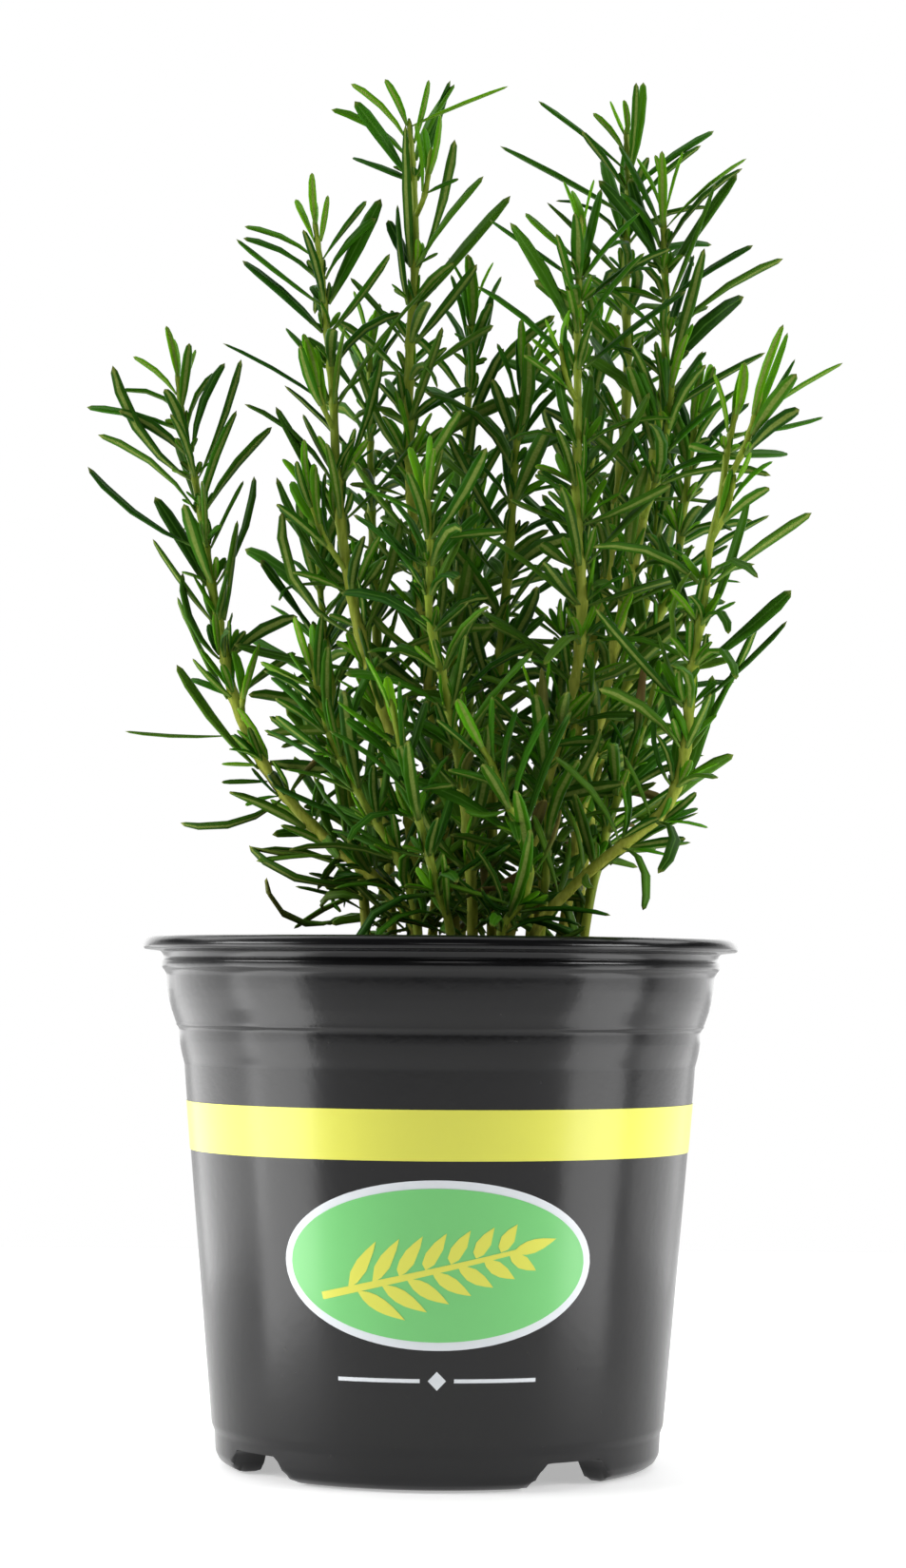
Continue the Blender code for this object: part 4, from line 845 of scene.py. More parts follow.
        (19, -15, 136), (18, -16, 148.5)],
        leaves=[(137, 19, -19, 151, 0), (135, 11, -19, 147.5, -5, 30)]),
    "shoot_centre_back": dict(turn=33, bare=36, seed=18,
        route=[(10, 20, 80), (10, 20, 95), (10, 20, 104.5), (10, 20, 126), (11, 19, 151.5),
        (13, 18, 177), (14.5, 17, 200.5), (16.5, 16, 216.5)]),
    "shoot_centre_back_tall": dict(turn=12, bare=36, seed=19,
        route=[(-2, 22, 80), (-2, 22, 95), (-1.5, 23, 104.5), (0, 25, 131.5), (2.5, 27, 162.5),
        (4, 28, 194), (5, 28, 217.5), (5.5, 28, 232.5)]),
    "shoot_back_left_tall": dict(turn=28, bare=36, seed=20,
        route=[(-9.5, 19, 80), (-9.5, 19, 95), (-10, 21, 106.5), (-11.5, 26, 131.5),
        (-13.5, 30, 163), (-15, 33, 194.5), (-15.5, 35, 224)]),
    "shoot_back_right_tall": dict(turn=3, bare=36, seed=21,
        route=[(17.5, 22, 80), (17.5, 22, 95), (18, 24, 106.5), (21.5, 29, 131.5), (25.5, 33, 163),
        (29.5, 36, 195), (31.5, 38, 228)]),
    "shoot_back_left": dict(turn=50, bare=34, seed=22,
        route=[(-14.5, 11, 80), (-14.5, 11, 95), (-15, 12, 106), (-18, 17, 126),
        (-21.5, 22, 146.5), (-24.5, 25, 167.5), (-26, 27, 187.5)]),
    "shoot_back_right": dict(turn=22, bare=34, seed=23,
        route=[(27.5, 21, 80), (27.5, 21, 95), (29, 23, 106.5), (33, 28, 126.5), (38, 32, 150.5),
        (42, 34, 176), (44.5, 35, 199)]),
    "shoot_back_centre": dict(turn=44, bare=34, seed=24,
        route=[(4, 30, 80), (4, 30, 95), (4, 32, 106.5), (4.5, 37, 132), (6, 41, 162),
        (6, 42, 191.5)]),
}


def unit(vector):
    return vector / np.linalg.norm(vector)


class Stem:
    """A smooth curve through a route's points, with a frame that doesn't twist."""

    def __init__(self, route, side, step=0.5):
        points = np.array(route, float)
        knots = np.concatenate([[0.0], np.cumsum(np.linalg.norm(np.diff(points, axis=0), axis=1))])
        slopes = np.gradient(points, knots, axis=0)
        self.length = float(knots[-1])
        self.at = np.linspace(0.0, self.length, int(self.length / step) + 2)
        span = np.clip(np.searchsorted(knots, self.at, side="right") - 1, 0, len(knots) - 2)
        width = (knots[span + 1] - knots[span])[:, None]
        u = ((self.at - knots[span])[:, None]) / width
        self.points = ((2 * u**3 - 3 * u**2 + 1) * points[span]
                       + (u**3 - 2 * u**2 + u) * width * slopes[span]
                       + (3 * u**2 - 2 * u**3) * points[span + 1]
                       + (u**3 - u**2) * width * slopes[span + 1])
        self.tangents = np.gradient(self.points, axis=0)
        self.tangents /= np.linalg.norm(self.tangents, axis=1)[:, None]
        self.sides = np.zeros_like(self.points)
        for i, tangent in enumerate(self.tangents):
            side = unit(side - tangent * np.dot(side, tangent))
            self.sides[i] = side

    def frame(self, s):
        """Point, direction, side and cross direction at a distance along the stem."""
        i = int(round(np.clip(s / self.length, 0.0, 1.0) * (len(self.at) - 1)))
        return self.points[i], self.tangents[i], self.sides[i], np.cross(self.tangents[i], self.sides[i])

    def radius(self, s):
        """Stems thicken away from their tip."""
        return 0.6 + 1.35 * (1.0 - math.exp(-(self.length - s) / 90.0))

    def faces(self, s):
        """The four ways out of the stem at a distance along it, numbered round the stem."""
        _, _, side, cross = self.frame(s)
        return list(enumerate((side, cross, -side, -cross)))


def leaf_spine(leaf, share):
    """A point on the leaf's middle line, with the direction and the upward side there."""
    turn = leaf["bend"] * share
    reach = leaf["length"] * share
    if abs(turn) > 1e-4:
        ahead = reach * math.sin(turn) / turn
        aside = reach * (1.0 - math.cos(turn)) / turn
    else:
        ahead, aside = reach, 0.0
    point = leaf["base"] + leaf["heading"] * ahead - leaf["up"] * aside
    heading = leaf["heading"] * math.cos(turn) - leaf["up"] * math.sin(turn)
    up = leaf["up"] * math.cos(turn) + leaf["heading"] * math.sin(turn)
    return point, heading, up


def leaf_ribs(leaf):
    """Six straight ribs that stand for the leaf when it is kept clear of its neighbours."""
    width = leaf.get("width", LEAF_WIDTH)
    across = np.cross(leaf["up"], leaf["heading"])
    middle = leaf_spine(leaf, LEAF_MIDDLE)[0]
    tip = leaf_spine(leaf, 1.0)[0]
    start = leaf["base"] + (middle - leaf["base"]) * 0.22
    half = 0.5 * width * across
    lines = []
    for edge in (-1.0, 0.0, 1.0):
        lines.append((start + half * edge * 0.8, middle + half * edge))
        lines.append((middle + half * edge, tip))
    return np.array(lines)


def rib_distances(first, second):
    """Least distance between each line of one set and each line of another."""
    p, q = first[:, None, 0], second[None, :, 0]
    d1, d2 = first[:, None, 1] - p, second[None, :, 1] - q
    r = p - q
    a, e, f = (d1 * d1).sum(-1), (d2 * d2).sum(-1), (d2 * r).sum(-1)
    c, b = (d1 * r).sum(-1), (d1 * d2).sum(-1)
    det = a * e - b * b
    s = np.where(det > 1e-9, np.clip((b * f - c * e) / np.where(det > 1e-9, det, 1.0), 0, 1), 0.0)
    t = np.clip((b * s + f) / e, 0, 1)
    s = np.clip((b * t - c) / a, 0, 1)
    gap = (p + d1 * s[..., None]) - (q + d2 * t[..., None])
    return np.linalg.norm(gap, axis=-1)


class Room:
    """What already stands in the way of a new leaf: the ribs of leaves and of stems."""

    def __init__(self):
        self.lines = np.zeros((0, 2, 3))
        self.reach = np.zeros(0)
        self.owner = np.zeros(0, int)
        self.woody = np.zeros(0, bool)

    def add(self, lines, reach, owner, woody):
        self.lines = np.concatenate([self.lines, lines])
        self.reach = np.concatenate([self.reach, np.full(len(lines), reach)])
        self.owner = np.concatenate([self.owner, np.full(len(lines), owner)])
        self.woody = np.concatenate([self.woody, np.full(len(lines), woody)])

    def free(self, ribs, owner, own=OWN_CLEARANCE, ease=1.0, mouth=MOUTH_CLEAR):
        """Whether a leaf's ribs keep their distance from everything, and stay out of the pot."""
        ends = ribs.reshape(-1, 3)
        out = np.hypot(ends[:, 0], ends[:, 1])
        if (np.abs(ends[:, 1]) > RIM_RADIUS - 1.5).any():
            return False
        if (ends[:, 2] < np.where(out > NEAR_RIM, RIM_CLEAR, mouth)).any():
            return False
        near = np.linalg.norm(self.lines.mean(axis=1) - ends.mean(axis=0), axis=1) < NEIGHBOURS
        near &= ~(self.woody & (self.owner == owner))
        if not near.any():
            return True
        least = np.where(self.owner == owner, own, self.reach * ease)[near]
        return bool((rib_distances(ribs, self.lines[near]) > least).all())


def node_distances(stem, bare):
    """Where the leaf pairs stand, measured back from the tip: crowded there, wider apart below."""
    places = []
    back = 1.6
    while stem.length - back > bare:
        places.append(back)
        back += blend(3.3, 7.6, back / 32.0)
    return places


def new_leaf(stem, s, outward, rng, loose):
    """A leaf on one side of the stem; loose goes from 0 to 1 as it has to dodge its neighbours."""
    point, along, _, _ = stem.frame(s)
    back = stem.length - s
    swing = rng.gauss(0.0, 0.10 + 0.35 * loose)
    across = np.cross(along, outward)
    outward = outward * math.cos(swing) + across * math.sin(swing)
    spread = math.radians(blend(9.0, 44.0, back / 42.0) + rng.gauss(0.0, 4.0 + 16.0 * loose))
    if back > 70.0:
        spread += math.radians(rng.uniform(0.0, 26.0))
    spread = min(max(spread, math.radians(5.0)), math.radians(100.0))
    heading = along * math.cos(spread) + outward * math.sin(spread)
    up = along * math.sin(spread) - outward * math.cos(spread)
    roll = rng.gauss(0.0, 0.22 + 0.2 * loose)
    cross = np.cross(up, heading)
    up = up * math.cos(roll) + cross * math.sin(roll)
    length = blend(9.5, 23.5, back / 26.0) * rng.uniform(0.84, 1.12) * (1.0 - 0.35 * loose)
    bend = math.radians(blend(14.0, 30.0, back / 20.0) + rng.gauss(0.0, 12.0))
    if back > 60.0:
        bend = math.radians(rng.gauss(14.0, 30.0))
    return dict(base=point + outward * stem.radius(s) * 0.9, heading=heading, up=up,
                length=length, bend=bend)


def stem_lines(stem, start):
    """A few straight lines that stand for the stem."""
    marks = np.linspace(start, stem.length, max(2, int((stem.length - start) / 8.0)))
    path = np.array([stem.frame(s)[0] for s in marks])
    return np.stack([path[:-1], path[1:]], axis=1)


def nearest(stem, point):
    return float(stem.at[np.argmin(np.linalg.norm(stem.points - np.array(point, float), axis=1))])


def plan_shoots(room):
    """Grows every stem first, then the chosen leaves, then the rest into the room that is left."""
    plan = []
    for order, (name, shoot) in enumerate(SHOOTS.items()):
        turn = math.radians(shoot["turn"])
        main = Stem(shoot["route"], np.array((math.cos(turn), math.sin(turn), 0.0)))
        stems = [dict(stem=main, owner=order * 10, bare=shoot["bare"], host=None,
                      chosen=shoot.get("leaves", []))]
        for number, side_shoot in enumerate(shoot.get("sides", [])):
            route = side_shoot["route"]
            joint = nearest(main, route[0])
            outward = unit(np.array(route[1], float) - route[0])
            start = main.frame(joint)[0] + outward * main.radius(joint)
            side = Stem([start] + route[1:], -main.frame(joint)[1])
            stems.append(dict(stem=side, owner=order * 10 + number + 1, bare=2.2, host=joint,
                              outward=outward, chosen=side_shoot.get("leaves", [])))
        hosted = [entry["host"] for entry in stems[1:]]
        for entry in stems:
            stem = entry["stem"]
            skip = 0.0 if entry["host"] is None else 3.0
            room.add(stem_lines(stem, skip), STEM_CLEARANCE, entry["owner"], True)
            places = [stem.length - back for back in node_distances(stem, entry["bare"])]
            if entry["host"] is None:
                places = [s for s in places if all(abs(s - joint) > 3.8 for joint in hosted)]
            entry["nodes"] = [dict(s=s, leaves={}) for s in places]
        plan.append((name, shoot, stems))
    for name, shoot, stems in plan:
        for entry in stems:
            for chosen in entry["chosen"]:
                set_leaf(entry, chosen, room)
    for name, shoot, stems in plan:
        rng = random.Random(shoot["seed"])
        for entry in stems:
            grow_leaves(entry, room, rng)
    return plan


def leaf_to(stem, s, outward, tip, bend, roll):
    """A leaf that grows from a face of the stem and bends on its way to a chosen tip."""
    point, along, _, _ = stem.frame(s)
    base = point + outward * stem.radius(s) * 0.9
    reach = float(np.linalg.norm(tip - base))
    chord = (tip - base) / reach
    above = unit(along - chord * np.dot(along, chord))
    above = above * math.cos(roll) + np.cross(above, chord) * math.sin(roll)
    half = bend / 2.0 if abs(bend) > 1e-3 else 1e-3
    return dict(base=base, heading=chord * math.cos(half) + above * math.sin(half),
                up=above * math.cos(half) - chord * math.sin(half),
                length=reach * half / math.sin(half), bend=2.0 * half)


def set_leaf(entry, chosen, room):
    """Grows a chosen leaf from the place and face that suit it best, a little nearer or further back
    if it has to dodge."""
    stem = entry["stem"]
    foot, tip, bend = chosen[0], np.array(chosen[1:4], float), math.radians(chosen[4])
    roll = math.radians(chosen[5]) if len(chosen) > 5 else 0.0
    seats = []
    for place in entry["nodes"]:
        point, along, _, _ = stem.frame(place["s"])
        aim = tip - point
        aim = unit(aim - along * np.dot(aim, along))
        for face, outward in stem.faces(place["s"]):
            fit = float(np.dot(aim, outward))
            if fit > 0.5 and face not in place["leaves"] and np.dot(tip - point, along) > -9.0:
                misfit = abs(point[2] - foot) + 6.0 * (1.0 - fit)
                seats.append((misfit, len(seats), place, face, outward))
    seats.sort(key=lambda seat: seat[:2])
    for _, _, place, face, outward in seats[:3]:
        for shift in (0.0, 2.0, -2.0, 4.0, -4.0, 6.0, -6.0, 8.0, -8.0):
            leaf = leaf_to(stem, place["s"], outward, tip + np.array((0.0, shift, 0.0)), bend, roll)
            ribs = leaf_ribs(leaf)
            if leaf["length"] < LONGEST and room.free(ribs, entry["owner"]):
                room.add(ribs, CLEARANCE, entry["owner"], False)
                place["leaves"][face] = leaf
                return


def grow_leaves(entry, room, rng):
    """Opposite pairs, each turned a quarter from the last; a leaf with no room is left off."""
    stem = entry["stem"]
    quarter = 0
    for place in reversed(entry["nodes"]):
        if place["leaves"]:
            quarter = min(place["leaves"]) % 2
        ways = stem.faces(place["s"])[quarter::2]
        quarter = 1 - quarter
        for face, outward in ways:
            if face in place["leaves"]:
                continue
            for attempt in range(TRIES):
                leaf = new_leaf(stem, place["s"], outward, rng, attempt / TRIES)
                ribs = leaf_ribs(leaf)
                if room.free(ribs, entry["owner"]):
                    room.add(ribs, CLEARANCE, entry["owner"], False)
                    place["leaves"][face] = leaf
                    break


def grow_tuft(entry, place, outward, room, rng):
    """A short axillary tuft of two to four small leaves above a leaf's foot."""
    stem = entry["stem"]
    back = stem.length - place["s"]
    point, along, _, _ = stem.frame(place["s"])
    lean = math.radians(rng.uniform(14.0, 36.0))
    axis = along * math.cos(lean) + outward * math.sin(lean)
    aside = unit(np.cross(axis, outward))
    upward = np.cross(aside, axis)
    seat = point + outward * stem.radius(place["s"]) * 0.8 + along * 0.8
    size = blend(4.0, 10.0, (back - 12.0) / 60.0) * rng.uniform(0.65, 1.25)
    count = rng.choice((2, 3, 4))
    start = rng.uniform(0.0, math.tau)
    made = []
    for number in range(count):
        angle = start + math.tau * number / count + rng.gauss(0.0, 0.2)
        away = aside * math.cos(angle) + upward * math.sin(angle)
        spread = math.radians(rng.uniform(10.0, 30.0))
        leaf = dict(base=seat, heading=axis * math.cos(spread) + away * math.sin(spread),
                    up=axis * math.sin(spread) - away * math.cos(spread),
                    length=size * rng.uniform(0.7, 1.1), bend=math.radians(rng.uniform(4.0, 34.0)),
                    width=LEAF_WIDTH * blend(0.42, 0.66, size / 10.0), age=0.12 + 0.3 * rng.random())
        if room.free(leaf_ribs(leaf), entry["owner"], TUFT_CLEARANCE, LATE_EASE):
            made.append(leaf)
    for leaf in made:
        room.add(leaf_ribs(leaf), CLEARANCE, entry["owner"], False)
    return made


def dress_leaf(leaf, back, rng):
    """The looks of a grown leaf: width, age and how far its tip has dried."""
    leaf["width"] = LEAF_WIDTH * blend(0.70, 1.08, back / 16.0) * rng.uniform(0.78, 1.22)
    leaf["width"] *= leaf.get("slim", 1.0)
    leaf["age"] = min(1.0, max(0.0, blend(0.0, 0.5, (back - 2.0) / 13.0)
                               + 0.5 * min(1.0, back / 110.0) + rng.gauss(0.0, 0.10)))
    if leaf["base"][2] < 140.0 and rng.random() < 0.05:
        leaf["dry"] = rng.uniform(0.4, 1.0)


def fill_faces(entry, place, room, rng, mouth):
    """Shorter late leaves on the faces of a node that its first pair left bare."""
    stem = entry["stem"]
    made = []
    if stem.length - place["s"] < LATE_FREE_TIP:
        return made
    for face, outward in stem.faces(place["s"]):
        if face in place["leaves"] or rng.random() > LATE_SHARE:
            continue
        for attempt in range(LATE_TRIES):
            leaf = new_leaf(stem, place["s"], outward, rng, attempt / (LATE_TRIES + 1))
            leaf["length"] *= rng.uniform(0.55, 0.95)
            leaf["bend"] += rng.gauss(*LATE_CURL)
            leaf["slim"] = LATE_SLIM
            reach = leaf_spine(leaf, 1.0)[0][0]
            if mouth < MOUTH_CLEAR and not LOW_REACH[0] < reach < LOW_REACH[1]:
                continue
            if room.free(leaf_ribs(leaf), entry["owner"], TUFT_CLEARANCE, LATE_EASE, mouth):
                room.add(leaf_ribs(leaf), CLEARANCE, entry["owner"], False)
                made.append(leaf)
                break
    return made


def low_places(entry):
    """Old leaf seats below the first full pair, down to the mouth of the pot."""
    stem = entry["stem"]
    if entry["host"] is not None:
        return []
    marks = np.arange(entry["bare"] - 1.5, 0.0, -LOW_STEP)
    return [dict(s=float(mark), leaves={}) for mark in marks if stem.frame(mark)[0][2] > LOW_FROM]


room = Room()
shoots = plan_shoots(room)
for name, shoot, stems in shoots:
    rng = random.Random(1000 + shoot["seed"])
    for entry in stems:
        entry["all_leaves"] = []
        for place in entry["nodes"]:
            back = entry["stem"].length - place["s"]
            for leaf in place["leaves"].values():
                dress_leaf(leaf, back, rng)
                entry["all_leaves"].append(leaf)
for name, shoot, stems in shoots:
    rng = random.Random(4000 + shoot["seed"])
    for entry in stems:
        low = low_places(entry)
        for place in entry["nodes"] + low:
            mouth = LOW_FROM - 2.0 if place in low else MOUTH_CLEAR
            for leaf in fill_faces(entry, place, room, rng, mouth):
                dress_leaf(leaf, entry["stem"].length - place["s"], rng)
                entry["all_leaves"].append(leaf)
for name, shoot, stems in shoots:
    rng = random.Random(2000 + shoot["seed"])
    for entry in stems:
        for place in entry["nodes"]:
            if entry["stem"].length - place["s"] < TUFT_FREE_TIP:
                continue
            for face, outward in entry["stem"].faces(place["s"]):
                wanted = TUFT_SHARE if face in place["leaves"] else TUFT_SHARE_BARE
                if rng.random() < wanted:
                    entry["all_leaves"] += grow_tuft(entry, place, outward, room, rng)

# ============================================================ stems
# Young stems are square, ridged and yellow-green; lower down they turn olive-tan and then woody
# brown with cracked bark.  Each swells a little where a leaf pair grows.
STEM_SIDES = 12
RING_STEP = 1.1                 # millimetres between the rings of a stem

stem_tree, stem_in, stem_out = geometry_tree(
    "ridged_stem", [("Sides", "NodeSocketInt"), ("Ridge", "NodeSocketFloat"),
                    ("Bark", "NodeSocketFloat"), ("Material", "NodeSocketMaterial")])


def attribute(tree, name, kind="FLOAT"):
    made = node(tree, "GeometryNodeInputNamedAttribute", data_type=kind)
    made.inputs[0].default_value = name
    return made.outputs[0]


def scaled(tree, vector, amount):
    made = node(tree, "ShaderNodeVectorMath", operation="SCALE")
    return feed(tree, made, i0=vector, i3=amount).outputs[0]


here = node(stem_tree, "GeometryNodeInputPosition").outputs[0]
path = feed(stem_tree, node(stem_tree, "GeometryNodeMeshToCurve"), i0=stem_in.outputs["Geometry"])
round_profile = feed(stem_tree, node(stem_tree, "GeometryNodeCurvePrimitiveCircle"),
                     i0=stem_in.outputs["Sides"], i4=1.0)
corner = feed(stem_tree, node(stem_tree, "ShaderNodeSeparateXYZ"), i0=here)
bearing = math_node(stem_tree, "ARCTAN2", corner.outputs[1], corner.outputs[0])
four = math_node(stem_tree, "COSINE", math_node(stem_tree, "MULTIPLY", bearing, 4.0))
swell = math_node(stem_tree, "ADD", math_node(stem_tree, "MULTIPLY", four,
                                             stem_in.outputs["Ridge"]), 1.0)
square = feed(stem_tree, node(stem_tree, "GeometryNodeSetPosition"), i0=round_profile.outputs[0])
stem_tree.links.new(scaled(stem_tree, here, swell), square.inputs["Position"])
skin = feed(stem_tree, node(stem_tree, "GeometryNodeCurveToMesh"), i0=path.outputs[0],
            i1=square.outputs[0], i2=attribute(stem_tree, "radius"), i3=True)
flaked = node(stem_tree, "ShaderNodeTexNoise")
along_grain = vector_math(stem_tree, "MULTIPLY", here, (1.0, 1.0, 0.3))
feed(stem_tree, flaked, i0=along_grain, i2=900.0, i3=2.0)
lifted = math_node(stem_tree, "MULTIPLY", math_node(stem_tree, "SUBTRACT", flaked.outputs[0], 0.5),
                   math_node(stem_tree, "MULTIPLY", attribute(stem_tree, "age"),
                             stem_in.outputs["Bark"]))
outward_push = scaled(stem_tree, node(stem_tree, "GeometryNodeInputNormal").outputs[0], lifted)
barked = feed(stem_tree, node(stem_tree, "GeometryNodeSetPosition"), i0=skin.outputs[0])
stem_tree.links.new(outward_push, barked.inputs["Offset"])
smooth_skin = feed(stem_tree, node(stem_tree, "GeometryNodeSetShadeSmooth"), i0=barked.outputs[0])
finish_tree(stem_tree, smooth_skin.outputs[0], stem_in, stem_out)

stem_look, look, shader = new_material("rosemary_stem", 0.55)
shader.inputs["Specular IOR Level"].default_value = 0.20
age = feed(look, node(look, "ShaderNodeAttribute", attribute_name="age")).outputs["Fac"]
streaks = place_group(look, patches, Place=object_place(look, (1.0, 1.0, 0.16)), Size=900.0,
                      Contrast=0.25)
blotches = place_group(look, patches, Place=object_place(look, (1.0, 1.0, 0.5)), Size=260.0,
                       Contrast=0.22)
young = mix_colours(look, streaks.outputs["Mask"], (0.17, 0.27, 0.015, 1.0), (0.34, 0.43, 0.04, 1.0))
tan = mix_colours(look, streaks.outputs["Mask"], (0.28, 0.31, 0.024, 1.0), (0.50, 0.53, 0.085, 1.0))
wood = mix_colours(look, streaks.outputs["Mask"], (0.12, 0.08, 0.015, 1.0), (0.36, 0.28, 0.06, 1.0))
uneven = math_node(look, "ADD", age, math_node(look, "MULTIPLY", math_node(
    look, "SUBTRACT", blotches.outputs["Height"], 0.5), 0.5))
green_part = mix_colours(look, remap(look, uneven, 0.2, 0.75), young, tan)
look.links.new(mix_colours(look, remap(look, uneven, 0.85, 1.2), green_part, wood),
               shader.inputs["Base Color"])
look.links.new(remap(look, uneven, 0.2, 0.9, 0.45, 0.85), shader.inputs["Roughness"])
bump(look, shader, streaks.outputs["Height"], 0.00025, 0.8)


def stem_mesh(name, stems):
    """The middle lines of a shoot's stems, with the radius and the age at each point."""
    points, edges, radii, ages = [], [], [], []
    for entry in stems:
        stem = entry["stem"]
        count = max(3, round(stem.length / RING_STEP))
        first = len(points)
        for i in range(count + 1):
            s = stem.length * i / count
            knuckle = sum(math.exp(-((s - place["s"]) / 0.9) ** 2) for place in entry["nodes"])
            old = blend(0.0, 1.0, (stem.length - s - 60.0) / 70.0)
            radius = stem.radius(s) * (0.74 + 0.22 * min(1.0, knuckle) - 0.14 * old)
            if stem.length - s < 1.5:
                radius *= 0.45 + 0.55 * (stem.length - s) / 1.5
            points.append(Vector(stem.frame(s)[0]) * MM)
            radii.append(radius * MM)
            extra = 0.0 if entry["host"] is None else -0.12
            ages.append(min(1.0, max(0.0, (stem.length - s) / 150.0 + extra)))
        edges += [(i, i + 1) for i in range(first, len(points) - 1)]
    mesh = bpy.data.meshes.new(name)
    mesh.from_pydata(points, edges, [])
    for label, values in (("radius", radii), ("age", ages)):
        mesh.attributes.new(label, "FLOAT", "POINT").data.foreach_set("value", values)
    return mesh


for name, shoot, stems in shoots:
    piece = grow(name + "_stem", stem_mesh(name + "_path", stems), stem_tree, Sides=STEM_SIDES,
                 Ridge=0.05, Bark=0.0007, Material=stem_look)
    declare(piece, "rosemary_stem", name)

# ============================================================ leaves
# Leathery needles with blunt tips: glossy green above with a fine sunken midrib, their edges rolled
# under round a strip of pale felt.  The youngest are bright yellow-green, the oldest dull and dark.
BLADE_RINGS = [(0.0, 0.36), (0.09, 0.54), (0.28, 0.87), (0.55, 1.0), (0.82, 0.87), (0.955, 0.54)]
BLADE_SECTION = [(0.0, 0.08), (0.50, 0.30), (0.97, 0.0), (0.74, -0.40), (0.0, -0.20),
                 (-0.74, -0.40), (-0.97, 0.0), (-0.50, 0.30)]

blade = bmesh.new()
blade_place = []
rows = []
for share, width in BLADE_RINGS:
    rows.append([blade.verts.new((share, across * width, lift * width))
                 for across, lift in BLADE_SECTION])
    blade_place += [(share, across, lift) for across, lift in BLADE_SECTION]
tip = blade.verts.new((1.0, 0.0, 0.0))
blade_place.append((1.0, 0.0, 0.1))
for low, high in zip(rows, rows[1:]):
    join_rings(blade, low, high)
join_to_point(blade, rows[-1], tip)
blade.faces.new(reversed(rows[0]))
bmesh.ops.recalc_face_normals(blade, faces=blade.faces)
blade_mesh = finished(blade, "leaf_blade")
flat_place = [value for place in blade_place for value in place]
blade_mesh.attributes.new("blade", "FLOAT_VECTOR", "POINT").data.foreach_set("vector", flat_place)
blade_shape = add_object("leaf_blade", blade_mesh)

leaf_tree, leaf_in, leaf_out = geometry_tree(
    "needle_leaves", [("Blade", "NodeSocketObject"), ("Thickness", "NodeSocketFloat"),
                      ("Material", "NodeSocketMaterial")])
one_leaf = feed(leaf_tree, node(leaf_tree, "GeometryNodeObjectInfo"), i0=leaf_in.outputs["Blade"])
seated = feed(leaf_tree, node(leaf_tree, "GeometryNodeInstanceOnPoints"),
              i0=leaf_in.outputs["Geometry"], i2=one_leaf.outputs["Geometry"])
loose_leaves = feed(leaf_tree, node(leaf_tree, "GeometryNodeRealizeInstances"), i0=seated.outputs[0])
foot = attribute(leaf_tree, "foot", "FLOAT_VECTOR")
unbent = vector_math(leaf_tree, "SUBTRACT",
                     node(leaf_tree, "GeometryNodeInputPosition").outputs[0], foot)
share, across, lift = feed(leaf_tree, node(leaf_tree, "ShaderNodeSeparateXYZ"), i0=unbent).outputs
bent = math_node(leaf_tree, "MULTIPLY", attribute(leaf_tree, "bend"), share)
reach = math_node(leaf_tree, "MULTIPLY", attribute(leaf_tree, "length"), share)
sine, cosine = math_node(leaf_tree, "SINE", bent), math_node(leaf_tree, "COSINE", bent)
ahead = math_node(leaf_tree, "MULTIPLY", reach, math_node(leaf_tree, "DIVIDE", sine, bent))
aside = math_node(leaf_tree, "MULTIPLY", reach, math_node(
    leaf_tree, "DIVIDE", math_node(leaf_tree, "SUBTRACT", 1.0, cosine), bent))
twisted = math_node(leaf_tree, "MULTIPLY", attribute(leaf_tree, "twist"), share)
twist_sine = math_node(leaf_tree, "SINE", twisted)
twist_cosine = math_node(leaf_tree, "COSINE", twisted)
half = attribute(leaf_tree, "half_width")
thick = math_node(leaf_tree, "MULTIPLY", lift, leaf_in.outputs["Thickness"])
over = math_node(leaf_tree, "MULTIPLY", half, math_node(
    leaf_tree, "SUBTRACT", math_node(leaf_tree, "MULTIPLY", across, twist_cosine),
    math_node(leaf_tree, "MULTIPLY", thick, twist_sine)))
above = math_node(leaf_tree, "MULTIPLY", half, math_node(
    leaf_tree, "ADD", math_node(leaf_tree, "MULTIPLY", across, twist_sine),
    math_node(leaf_tree, "MULTIPLY", thick, twist_cosine)))


heading = attribute(leaf_tree, "heading", "FLOAT_VECTOR")
up = attribute(leaf_tree, "up", "FLOAT_VECTOR")
up_here = vector_math(leaf_tree, "ADD", scaled(leaf_tree, up, cosine), scaled(leaf_tree, heading, sine))
spine = vector_math(leaf_tree, "SUBTRACT", scaled(leaf_tree, heading, ahead),
                    scaled(leaf_tree, up, aside))
swept = math_node(leaf_tree, "MULTIPLY", math_node(leaf_tree, "MULTIPLY", reach, share),
                  attribute(leaf_tree, "sweep"))
broad = vector_math(leaf_tree, "ADD", scaled(leaf_tree, up_here, above), scaled(
    leaf_tree, vector_math(leaf_tree, "CROSS_PRODUCT", up, heading),
    math_node(leaf_tree, "ADD", over, swept)))
set_place = vector_math(leaf_tree, "ADD", foot, vector_math(leaf_tree, "ADD", spine, broad))
bent_leaves = node(leaf_tree, "GeometryNodeSetPosition")
leaf_tree.links.new(loose_leaves.outputs[0], bent_leaves.inputs["Geometry"])
leaf_tree.links.new(set_place, bent_leaves.inputs["Position"])
finish_tree(leaf_tree, bent_leaves.outputs[0], leaf_in, leaf_out)

